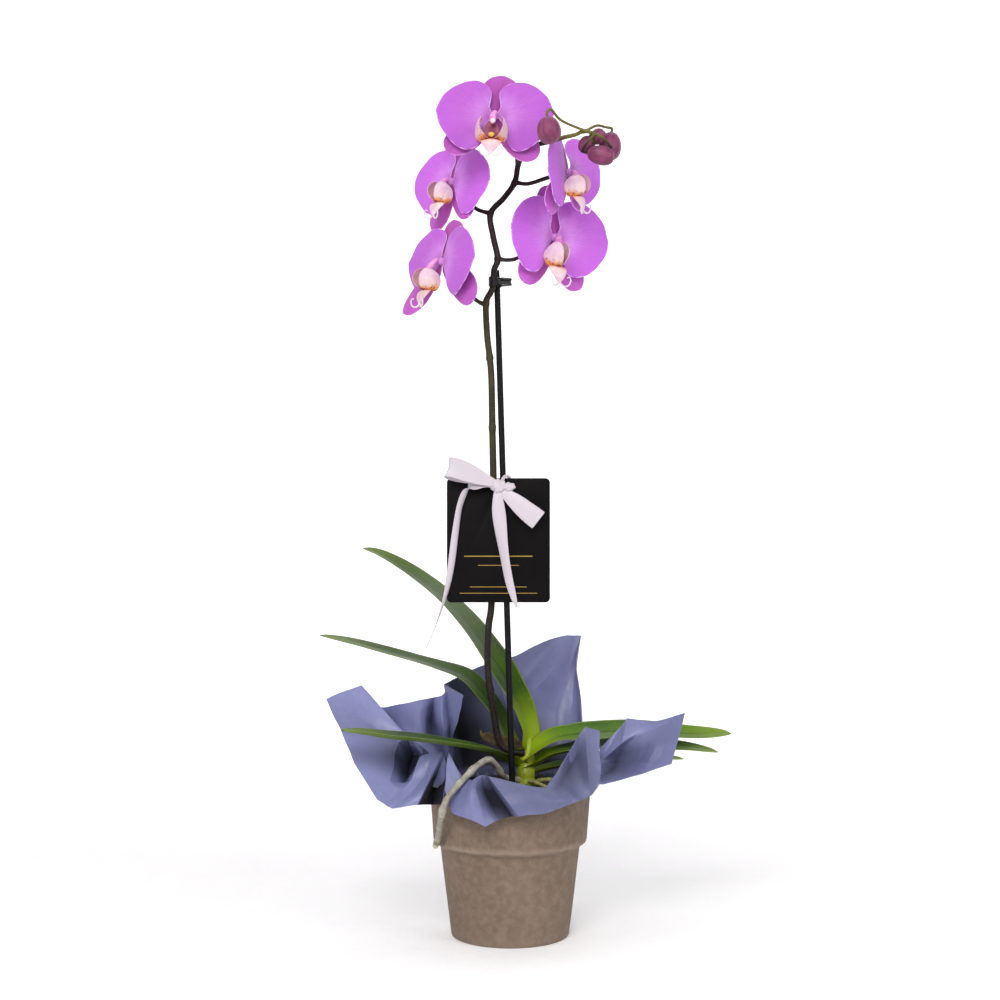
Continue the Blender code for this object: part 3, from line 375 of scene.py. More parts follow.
def new_group(name, output, **inputs):
    """A node group with a vector input, named number inputs and one output."""
    group = bpy.data.node_groups.new(name, "ShaderNodeTree")
    group.interface.new_socket(name="Vector", in_out="INPUT", socket_type="NodeSocketVector")
    for key, value in inputs.items():
        socket = group.interface.new_socket(name=key, in_out="INPUT", socket_type="NodeSocketFloat")
        socket.default_value = value
    group.interface.new_socket(name=output, in_out="OUTPUT", socket_type="NodeSocketFloat")
    return group, group.nodes.new("NodeGroupInput").outputs, group.nodes.new("NodeGroupOutput").inputs[0]


def make_mottle():
    """Soft uneven patches: a mask from 0 to 1."""
    group, given, mask = new_group("Mottle", "Mask", Scale=40.0, Detail=4.0, Low=0.35, High=0.65)
    cloud = add(group, "ShaderNodeTexNoise", Vector=given["Vector"], Scale=given["Scale"],
                Detail=given["Detail"], Roughness=0.55)
    group.links.new(span(group, cloud.outputs["Fac"], given["Low"], given["High"]), mask)
    return group


def make_streaks():
    """Fine lines that run along one direction of a stretched coordinate: a mask from 0 to 1."""
    group, given, mask = new_group("Streaks", "Mask", Across=60.0, Along=3.0, Low=0.4, High=0.6)
    stretch = add(group, "ShaderNodeCombineXYZ", X=given["Across"], Y=given["Along"], Z=1.0)
    scaled = add(group, "ShaderNodeVectorMath", {"operation": "MULTIPLY"})
    plug(group, scaled.inputs[0], given["Vector"])
    plug(group, scaled.inputs[1], stretch.outputs[0])
    cloud = add(group, "ShaderNodeTexNoise", Vector=scaled.outputs[0], Scale=1.0, Detail=3.0, Roughness=0.6)
    group.links.new(span(group, cloud.outputs["Fac"], given["Low"], given["High"]), mask)
    return group


def make_grain():
    """Two sizes of relief added up: a height."""
    group, given, height = new_group("Grain", "Height", Coarse=80.0, Fine=600.0, Share=0.4)
    big = add(group, "ShaderNodeTexNoise", Vector=given["Vector"], Scale=given["Coarse"], Detail=3.0)
    small = add(group, "ShaderNodeTexNoise", Vector=given["Vector"], Scale=given["Fine"], Detail=2.0)
    share = times(group, small.outputs["Fac"], given["Share"])
    group.links.new(plus(group, big.outputs["Fac"], share), height)
    return group


MOTTLE, STREAKS, GRAIN = make_mottle(), make_streaks(), make_grain()


def use(tree, group, **inputs):
    return add(tree, "ShaderNodeGroup", {"node_tree": group}, **inputs).outputs[0]


def mottle(tree, place, scale, detail=4.0, low=0.3, high=0.7):
    return use(tree, MOTTLE, Vector=place, Scale=scale, Detail=detail, Low=low, High=high)


def streaks(tree, place, across, length, low, high):
    return use(tree, STREAKS, Vector=place, Across=across, Along=length, Low=low, High=high)


def grain(tree, place, coarse, fine, share):
    return use(tree, GRAIN, Vector=place, Coarse=coarse, Fine=fine, Share=share)


def shader_of(look):
    return look.node_tree.nodes["Principled BSDF"]


def new_look(name, **constants):
    """A material with values set on its shader, its node tree, and the places that patterns are read from."""
    look = bpy.data.materials.new(name)
    look.use_nodes = True
    for key, value in constants.items():
        shader_of(look).inputs[key.replace("_", " ")].default_value = value
    place = look.node_tree.nodes.new("ShaderNodeTexCoord")
    return look, look.node_tree, place.outputs["Object"], place.outputs["UV"]


def set_looks(look, colour, rough, height, strength, distance):
    """Gives the shader its colour, any roughness, and a relief with its strength and depth in metres."""
    tree, shader = look.node_tree, shader_of(look)
    tree.links.new(colour, shader.inputs["Base Color"])
    if rough is not None:
        tree.links.new(rough, shader.inputs["Roughness"])
    bump = add(tree, "ShaderNodeBump", Strength=strength, Distance=distance, Height=height)
    tree.links.new(bump.outputs[0], shader.inputs["Normal"])
    return look


def clay_look():
    """Taupe clay: clouded, paler on the band's ledge, the rim and the foot, with dark specks."""
    look, tree, at, _ = new_look("taupe_clay", Specular_IOR_Level=0.3)
    broad = mottle(tree, at, 14.0, 5.0)
    fine = mottle(tree, at, 160.0, high=0.75)
    level = plus(tree, axis(tree, at, "Z"), times(tree, broad, 0.004))
    ledge = times(tree, span(tree, level, 0.081, 0.0845), span(tree, level, 0.0905, 0.0855))
    rim = span(tree, level, 0.1262, 0.1302)
    foot = times(tree, span(tree, level, 0.018, 0.001), 0.5)
    base = paint(tree, blend(tree, broad, srgb(107, 90, 77), srgb(120, 102, 88)),
                 (fine, 0.35, srgb(155, 139, 124)),
                 (plus(tree, plus(tree, ledge, rim), foot), 0.32, srgb(168, 152, 137)),
                 (mottle(tree, at, 420.0, 1.0, 0.68, 0.74), 0.4, srgb(92, 76, 64)))
    relief = grain(tree, at, 220.0, 1500.0, 0.5)
    return set_looks(look, base, spread(tree, fine, 0.78, 0.93), relief, 0.35, 0.0006)


def film_look():
    """Slate-blue film with painted shade: darkened towards near black where it is closed in by folds and
    where its ribs carry a shade, and rougher there.
    """
    look, tree, at, _ = new_look("slate_film", Specular_IOR_Level=0.4)
    fine = mottle(tree, at, 300.0, 3.0, 0.35)
    # Painted shade: from how closed in each point is and from the shade set on the ribs
    folds = times(tree, span(tree, mark(tree, "hollow"), 0.60, 1.05), 0.8)
    painted_rib_shades = times(tree, maths(tree, "POWER", mark(tree, "shade"), 1.8), 0.97)
    deep = maths(tree, "MAXIMUM", folds, painted_rib_shades)
    base = paint(tree, blend(tree, mottle(tree, at, 9.0, 3.0), srgb(112, 116, 157), srgb(122, 126, 169)),
                 (fine, 0.12, srgb(144, 148, 186)), (deep, 1.0, srgb(14, 12, 22)))
    rough = maths(tree, "MAXIMUM", spread(tree, fine, 0.36, 0.48), deep)
    return set_looks(look, base, rough, grain(tree, at, 90.0, 900.0, 0.25), 0.15, 0.0005)


def leaf_look(name, low, high, tip):
    """Leaf skin: fine veins, painted shade along the middle line, pale margins and underside, a painted grey
    sheen past the middle, a yellow-green foot and a dry tip.
    """
    look, tree, at, uv = new_look(name, Specular_IOR_Level=0.13, Subsurface_Weight=0.03,
                                  Subsurface_Scale=0.002)
    length = axis(tree, uv, "Y")
    middle = away_from(tree, axis(tree, uv, "X"), 0.5)
    veins = streaks(tree, uv, 46.0, 2.5, 0.35, 0.65)
    patch = mottle(tree, at, 24.0, 4.0, 0.32, 0.68)
    beside = times(tree, span(tree, middle, 0.03, 0.12), span(tree, middle, 0.42, 0.16))
    margin = span(tree, middle, 0.42, 0.495)
    # A painted grey sheen past the leaf's middle, as strong as the leaf's pale value says
    bloom = times(tree, span(tree, length, 0.92, 0.68), span(tree, length, 0.30, 0.58))
    foot = span(tree, length, 0.25, 0.05)
    base = paint(tree, blend(tree, patch, low, high),
                 (veins, 0.30, high),
                 (mottle(tree, at, 260.0, 2.0, 0.55, 0.75), 0.22, tip),
                 # Darker along the middle line: painted shade in the groove on top, the same dark line along
                 # the keel below
                 (span(tree, middle, 0.045, 0.0), 0.85, srgb(22, 44, 6)),
                 (beside, 0.35, high),
                 (margin, 0.7, tip),
                 (mark(tree, "under"), 0.5, tip),
                 (span(tree, length, 0.72, 1.0), 0.6, tip),
                 (bloom, mark(tree, "pale"), srgb(150, 165, 130)),
                 (foot, 0.9, srgb(126, 150, 14)),
                 (times(tree, foot, margin), 0.6, srgb(112, 78, 34)),
                 (span(tree, length, 0.988, 1.0), 1.0, srgb(96, 74, 40)))
    lift = plus(tree, times(tree, veins, 0.6), grain(tree, at, 150.0, 900.0, 0.3))
    return set_looks(look, base, spread(tree, patch, 0.42, 0.56), lift, 0.22, 0.0004)


def with_painted_shade(tree, base, shade):
    """A flower's colour with painted shade: darkened by a shade colour as far as its piece's tone says."""
    return blend(tree, mark(tree, "tone"), base, blend(tree, 1.0, base, shade, "MULTIPLY"))


def petal_look(name, inner, middle, outer, rim, vein):
    """Petal tissue: veins spread from the claw, a lighter middle and a pale line at the margin, darkened as
    painted shade where the piece's tone says.
    """
    look, tree, at, uv = new_look(name, Specular_IOR_Level=0.25, Sheen_Weight=0.12, Sheen_Roughness=0.5,
                                  Subsurface_Weight=0.12, Subsurface_Scale=0.003)
    reach = axis(tree, uv, "Y")
    patch = mottle(tree, at, 45.0)
    veins = streaks(tree, uv, 34.0, 2.2, 0.44, 0.60)
    fine = streaks(tree, uv, 95.0, 5.0, 0.42, 0.62)
    base = paint(tree, blend(tree, span(tree, reach, 0.05, 0.55), inner, middle),
                 (span(tree, reach, 0.5, 1.0), 1.0, outer),
                 (patch, 0.25, middle),
                 (veins, 0.11, vein),
                 (span(tree, reach, 0.30, 0.12), 0.6, srgb(168, 70, 172)),
                 (times(tree, fine, span(tree, reach, 0.80, 0.20)), 0.35, inner),
                 (span(tree, mark(tree, "margin"), 0.15, 0.05), 0.85, rim))
    lift = plus(tree, times(tree, veins, 0.7), times(tree, fine, 0.4))
    colour = with_painted_shade(tree, base, (0.77, 0.71, 0.75, 1.0))
    return set_looks(look, colour, spread(tree, patch, 0.5, 0.64), lift, 0.18, 0.0004)


def lip_look():
    """White to pink lobes, an orange band with red-brown marks at their base, fine purple lines inside,
    darkened as painted shade where the piece's tone says.
    """
    look, tree, at, uv = new_look("lip_tissue", Specular_IOR_Level=0.3, Subsurface_Weight=0.35,
                                  Subsurface_Scale=0.004)
    lines = streaks(tree, uv, 22.0, 1.6, 0.52, 0.64)
    patch = mottle(tree, at, 120.0, 3.0)
    dots = mottle(tree, at, 520.0, 1.0, 0.54, 0.62)
    level = plus(tree, axis(tree, uv, "Y"), times(tree, mottle(tree, at, 260.0, 2.0, 0.2, 0.8), 0.12))
    base = paint(tree, blend(tree, patch, srgb(228, 208, 215), srgb(214, 182, 200)),
                 (times(tree, lines, span(tree, level, 0.95, 0.30)), 0.45, srgb(186, 100, 160)),
                 (span(tree, level, 0.80, 0.42), 0.35, srgb(242, 212, 176)),
                 (span(tree, level, 0.44, 0.26), 0.9, srgb(222, 138, 46)),
                 (span(tree, level, 0.26, 0.12), 1.0, srgb(168, 72, 30)),
                 (times(tree, dots, span(tree, level, 0.55, 0.30)), 0.8, srgb(138, 42, 36)),
                 (span(tree, mark(tree, "margin"), 0.12, 0.03), 0.7, srgb(196, 150, 178)))
    lift = plus(tree, lines, grain(tree, at, 500.0, 1800.0, 0.4))
    colour = with_painted_shade(tree, base, (0.74, 0.66, 0.68, 1.0))
    return set_looks(look, colour, spread(tree, patch, 0.42, 0.55), lift, 0.15, 0.0003)


def simple_look(name, dark, light, rough_low, rough_high, scale=60.0, sizes=(200.0, 1200.0), bump=0.3,
                distance=0.0004, tint=None, **constants):
    """An uneven two-tone finish with relief, and a third tint in small spots where one is given."""
    look, tree, at, _ = new_look(name, **constants)
    patch = mottle(tree, at, scale, 5.0)
    base = blend(tree, patch, dark, light)
    if tint:
        base = paint(tree, base, (mottle(tree, at, scale * 5.0, 2.0, 0.56, 0.68), 0.6, tint))
    rough = spread(tree, patch, rough_low, rough_high)
    return set_looks(look, base, rough, grain(tree, at, *sizes, 0.5), bump, distance)


def stem_look():
    """Purple-black at the foot, brown-green in the middle, brown above, olive near the buds, pale flecks."""
    look, tree, at, _ = new_look("spike_skin", Specular_IOR_Level=0.2)
    height = axis(tree, at, "Z")
    patch = mottle(tree, at, 90.0)
    low = blend(tree, patch, srgb(46, 40, 26), srgb(62, 56, 36))
    high = blend(tree, patch, srgb(22, 12, 15), srgb(44, 24, 26))
    olive = plus(tree, 0.45, times(tree, patch, 0.4))
    base = paint(tree, blend(tree, span(tree, height, 0.53, 0.60), low, high),
                 (span(tree, height, 0.36, 0.27), 0.85, srgb(26, 17, 22)),
                 (span(tree, height, 0.684, 0.698), olive, srgb(126, 116, 58)),
                 (mottle(tree, at, 800.0, 1.0, 0.62, 0.7), 0.25, srgb(110, 100, 80)))
    relief = grain(tree, at, 300.0, 1600.0, 0.4)
    return set_looks(look, base, spread(tree, patch, 0.42, 0.58), relief, 0.3, 0.0003)


def bud_look():
    """Dark wine-red skin, greener at the foot, paler along the seams."""
    look, tree, at, uv = new_look("bud_skin", Specular_IOR_Level=0.4, Sheen_Weight=0.1)
    veins = streaks(tree, uv, 40.0, 2.0, 0.42, 0.6)
    patch = mottle(tree, at, 120.0)
    base = paint(tree, blend(tree, patch, srgb(98, 31, 68), srgb(130, 52, 94)),
                 (veins, 0.2, srgb(88, 34, 62)),
                 (span(tree, axis(tree, uv, "Y"), 0.22, 0.0), 0.55, srgb(116, 102, 62)),
                 (mark(tree, "seam"), 0.35, srgb(150, 88, 118)))
    lift = plus(tree, times(tree, veins, 0.5), grain(tree, at, 500.0, 1800.0, 0.4))
    return set_looks(look, base, spread(tree, patch, 0.42, 0.58), lift, 0.2, 0.0003)


def card_look():
    """Black card stock with four plain gold rules on its front, placed from the card's own middle."""
    look, tree, at, _ = new_look("card_stock", Specular_IOR_Level=0.1)
    x, y, z = (axis(tree, at, letter) for letter in "XYZ")
    beside = away_from(tree, x, CARD_PLACE[0] * MM)
    rules = 0.0
    for height, half_length, half_width in CARD_RULES:
        off = away_from(tree, z, (CARD_PLACE[2] + height) * MM)
        rule = times(tree, span(tree, off, (half_width + 0.08) * MM, (half_width - 0.04) * MM),
                     span(tree, beside, (half_length + 0.1) * MM, (half_length - 0.1) * MM))
        rules = maths(tree, "MAXIMUM", rules, rule)
    front = span(tree, y, (CARD_PLACE[1] + 0.1) * MM, (CARD_PLACE[1] - 0.1) * MM)
    fleck = mottle(tree, at, 700.0, 2.0, 0.2, 0.5)
    gold = times(tree, times(tree, rules, front), spread(tree, fleck, 0.75, 1.0))
    patch = mottle(tree, at, 30.0)
    base = paint(tree, blend(tree, patch, srgb(6, 4, 5), srgb(12, 9, 10)), (gold, 1.0, srgb(170, 138, 70)))
    rough = maths(tree, "SUBTRACT", spread(tree, patch, 0.52, 0.62), times(tree, gold, 0.2))
    lift = plus(tree, times(tree, grain(tree, at, 400.0, 2500.0, 0.6), 0.3), gold)
    tree.links.new(times(tree, gold, 0.6), shader_of(look).inputs["Metallic"])
    return set_looks(look, base, rough, lift, 0.2, 0.0002)


def satin_look():
    """Pale satin: threads along the ribbon, a tight weave across it and darker selvedges."""
    look, tree, _, uv = new_look("satin_ribbon", Specular_IOR_Level=0.5, Sheen_Weight=0.35,
                                 Sheen_Roughness=0.35)
    weave = streaks(tree, uv, 90.0, 900.0, 0.3, 0.7)
    threads = streaks(tree, uv, 260.0, 14.0, 0.3, 0.7)
    selvedge = span(tree, away_from(tree, axis(tree, uv, "X"), 0.5), 0.42, 0.47)
    base = paint(tree, blend(tree, times(tree, threads, 0.3), srgb(192, 182, 191), srgb(208, 200, 207)),
                 (selvedge, 0.25, srgb(168, 154, 166)))
    lift = plus(tree, plus(tree, weave, threads), times(tree, selvedge, 1.2))
    return set_looks(look, base, spread(tree, threads, 0.30, 0.45), lift, 0.12, 0.0002)


def root_look():
    """Grey-white root skin with stains and specks, cream at its cut end."""
    look, tree, at, _ = new_look("root_skin", Specular_IOR_Level=0.3)
    patch = mottle(tree, at, 110.0, 5.0, 0.32, 0.68)
    cut = AERIAL_ROOT[-1][2] * MM
    base = paint(tree, blend(tree, patch, srgb(146, 140, 128), srgb(176, 171, 160)),
                 (mottle(tree, at, 60.0, 3.0, 0.55, 0.72), 0.8, srgb(112, 110, 84)),
                 (mottle(tree, at, 420.0, 2.0, 0.6, 0.7), 0.7, srgb(92, 78, 60)),
                 (span(tree, axis(tree, at, "Z"), cut + 0.004, cut + 0.0005), 1.0, srgb(206, 194, 160)))
    relief = grain(tree, at, 260.0, 1400.0, 0.6)
    return set_looks(look, base, spread(tree, patch, 0.72, 0.9), relief, 0.5, 0.0006)


def plaster_look():
    """The stage's pale plaster, which glows a little more towards its far side."""
    look, tree, at, _ = new_look("pale_plaster", Specular_IOR_Level=0.1, Roughness=0.95,
                                 Emission_Color=srgb(250, 249, 250))
    broad = mottle(tree, at, 2.2, 6.0)
    base = paint(tree, blend(tree, broad, srgb(238, 237, 238), srgb(246, 245, 246)),
                 (mottle(tree, at, 45.0, 6.0), 0.5, srgb(238, 237, 239)))
    glow = span(tree, axis(tree, at, "Y"), 0.2, 1.7, 0.12, 0.62)
    tree.links.new(glow, shader_of(look).inputs["Emission Strength"])
    return set_looks(look, base, None, grain(tree, at, 30.0, 220.0, 0.5), 0.35, 0.004)


# The camera looks level along +Y, as the photograph does. EYE is its place in millimetres. The photograph is
# 1000 pixels wide, and VIEW_SCALE is its focal length in those pixels

EYE = Vector((-9.0, -1500.0, 384.0))
PHOTO_MIDDLE = 500.0
VIEW_SCALE = 1693.0

camera_data = bpy.data.cameras.new("camera")
camera_data.sensor_width = 36.0
camera_data.lens = 60.95
camera = bpy.data.objects.new("camera", camera_data)
camera.location = EYE * MM
camera.rotation_euler = (math.pi / 2, 0.0, 0.0)
bpy.context.scene.collection.objects.link(camera)
bpy.context.scene.camera = camera
bpy.context.scene.view_settings.view_transform = "Standard"


def make_stage():
    """A pale floor that curves up into the backdrop."""
    width, flat, radius, rise, back = 12000.0, 7600.0, 800.0, 3200.0, 2200.0
    arc = radius * math.pi / 2

    def place(u, v):
        s = v * (flat + arc + rise)
        if s < flat:
            y, z = s - flat, 0.0
        elif s < flat + arc:
            turn = (s - flat) / radius
            y, z = radius * math.sin(turn), radius * (1 - math.cos(turn))
        else:
            y, z = radius, radius + s - flat - arc
        return Vector(((u - 0.5) * width, y + back, z))
    floor = grid_piece("floor", 8, 90, place)
    smooth_all(floor)
    floor.data.materials.append(plaster_look())


# Each lamp's place and aim in metres, its size, power and colour
LAMPS = (
    ("key_light", (-0.4, -1.8, 1.5), (0.0, 0.0, 0.4), 1.0, 32.0, (1.0, 0.99, 0.98)),
    ("left_light", (-1.9, -1.2, 0.9), (0.0, 0.0, 0.35), 1.1, 9.0, (1.0, 1.0, 1.0)),
    ("right_light", (1.8, -1.4, 1.4), (0.0, 0.0, 0.4), 1.1, 20.0, (1.0, 1.0, 1.0)),
    ("top_light", (0.1, 0.3, 2.3), (0.0, 0.0, 0.3), 1.6, 13.0, (1.0, 1.0, 1.0)),
)


def make_lights():
    """Square lamps and a soft white room."""
    for name, place, aim, size, power, colour in LAMPS:
        data = bpy.data.lights.new(name, "AREA")
        data.size, data.energy, data.color = size, power, colour
        lamp = bpy.data.objects.new(name, data)
        lamp.location = place
        lamp.rotation_euler = (Vector(aim) - Vector(place)).to_track_quat("-Z", "Y").to_euler()
        bpy.context.scene.collection.objects.link(lamp)
    world = bpy.data.worlds.new("soft_room")
    bpy.context.scene.world = world
    world.use_nodes = True
    sky = world.node_tree.nodes["Background"]
    sky.inputs[0].default_value = (1.0, 1.0, 1.0, 1.0)
    sky.inputs[1].default_value = 0.26


# Clay pot, nursery pot and bark. Profiles are radius and height

POT_PROFILE = (
    (0.0, 0.0), (50.4, 0.0), (51.5, 0.5), (52.0, 1.6), (54.4, 20.5), (56.8, 40.0), (59.2, 60.0), (61.3, 77.0),
    (61.9, 79.4), (62.9, 80.6), (66.2, 82.6), (67.2, 83.5), (67.7, 85.0), (68.6, 98.0), (69.7, 113.0),
    (70.7, 126.6), (70.75, 128.2), (70.2, 129.4), (69.0, 130.0), (65.6, 130.0), (64.5, 129.6), (63.9, 128.6),
    (62.6, 120.0), (54.8, 68.0), (46.3, 12.0), (45.2, 8.2), (43.6, 7.0), (0.0, 7.0),
)
CUP_PROFILE = (
    (0.0, 9.0), (42.0, 9.0), (43.0, 10.0), (59.0, 127.6), (59.5, 128.4), (59.6, 130.2), (59.1, 131.0),
    (58.5, 131.0), (58.0, 130.0), (57.6, 127.0), (41.8, 10.4), (0.0, 10.4),
)


def make_pots():
    """The clay pot, a little out of round, and the thin nursery pot inside it."""
    pot = turned_piece("terracotta_pot", POT_PROFILE, 128, 60)
    for vert in pot.data.vertices:
        x, y, z = vert.co
        turn = math.atan2(y, x)
        sway = 0.00025 * math.sin(2 * turn + 0.6) + 0.00012 * math.sin(5 * turn + z * 70)
        reach = math.hypot(x, y)
        if reach > 0.02 and z > 0.001:
            vert.co.x *= 1 + sway / reach
            vert.co.y *= 1 + sway / reach
    finish_piece(pot, clay_look(), "clay", "clay_pot")
    cup = turned_piece("nursery_pot", CUP_PROFILE, 96, 50)
    plastic = simple_look("pot_plastic", srgb(24, 24, 26), srgb(34, 34, 36), 0.42, 0.55, 50.0, bump=0.1)
    finish_piece(cup, plastic, "plastic", "grow_pot")


# Where the crown stands, the stake's ends, and the bark's level, reach and number of chips tried
CROWN = Vector((14.0, 4.0))
STAKE_FOOT, STAKE_TOP = Vector((4.2, -20.0, 55.0)), Vector((-12.0, 4.4, 588.0))
BARK_LEVEL, BARK_REACH, CHIPS = 130.4, 56.0, 150


def stake_point(level):
    return STAKE_FOOT.lerp(STAKE_TOP, (level - STAKE_FOOT.z) / (STAKE_TOP.z - STAKE_FOOT.z))


def make_bark():
    """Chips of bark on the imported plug, each cut from a block with its corners off."""
    bark = simple_look("bark_chips", srgb(38, 27, 18), srgb(76, 56, 38), 0.8, 0.95, 90.0, (180.0, 900.0), 0.8,
                       0.0012, srgb(112, 88, 60))
    finish_slots("growing_medium", bark)
    draw = random.Random(7)
    chips = []
    seat = stake_point(BARK_LEVEL - 0.4)
    for _ in range(CHIPS):
        reach = (BARK_REACH - 1.0) * math.sqrt(draw.random())
        turn = draw.uniform(0.0, 2 * math.pi)
        x, y = reach * math.cos(turn), reach * math.sin(turn)
        size = draw.uniform(4.0, 9.0)
        on_crown = math.hypot(x - CROWN.x, y - CROWN.y) < 10.0 + size * 0.7
        on_stake = math.hypot(x - seat.x, y - seat.y) < size
        if on_crown or on_stake or reach + size * 0.6 > BARK_REACH:
            continue
        chip = box_piece("chip", (x, y, BARK_LEVEL + draw.uniform(-1.0, 1.6)),
                         (draw.uniform(-0.5, 0.5), draw.uniform(-0.5, 0.5), draw.uniform(0, math.pi)),
                         (size, size * draw.uniform(0.45, 0.8), size * draw.uniform(0.22, 0.4)))
        bpy.ops.object.mode_set(mode="EDIT")
        bpy.ops.mesh.bevel(offset=size * 0.12 * MM, segments=1)
        bpy.ops.mesh.subdivide(number_cuts=1)
        bpy.ops.object.mode_set(mode="OBJECT")
        settle(chip)
        roughen(chip, 330.0, 0.0009)
        chips.append(chip)
    finish_piece(join(chips, "bark_top"), bark, "bark")


# The film wrap

def seen(point):
    """Where a point stands in the photograph, in pixels."""
    scale = VIEW_SCALE / (point.y - EYE.y)
    return PHOTO_MIDDLE + (point.x - EYE.x) * scale, PHOTO_MIDDLE + (EYE.z - point.z) * scale


def at(across, down, depth):
    """The point seen at a pixel of the photograph, at a depth behind the pot's axis in millimetres."""
    scale = (depth - EYE.y) / VIEW_SCALE
    return Vector(((across - PHOTO_MIDDLE) * scale + EYE.x, depth, EYE.z - (down - PHOTO_MIDDLE) * scale))


def sight(across, down):
    """The line of sight through a pixel of the photograph."""
    return Vector(((across - PHOTO_MIDDLE) / VIEW_SCALE, 1.0, (PHOTO_MIDDLE - down) / VIEW_SCALE))
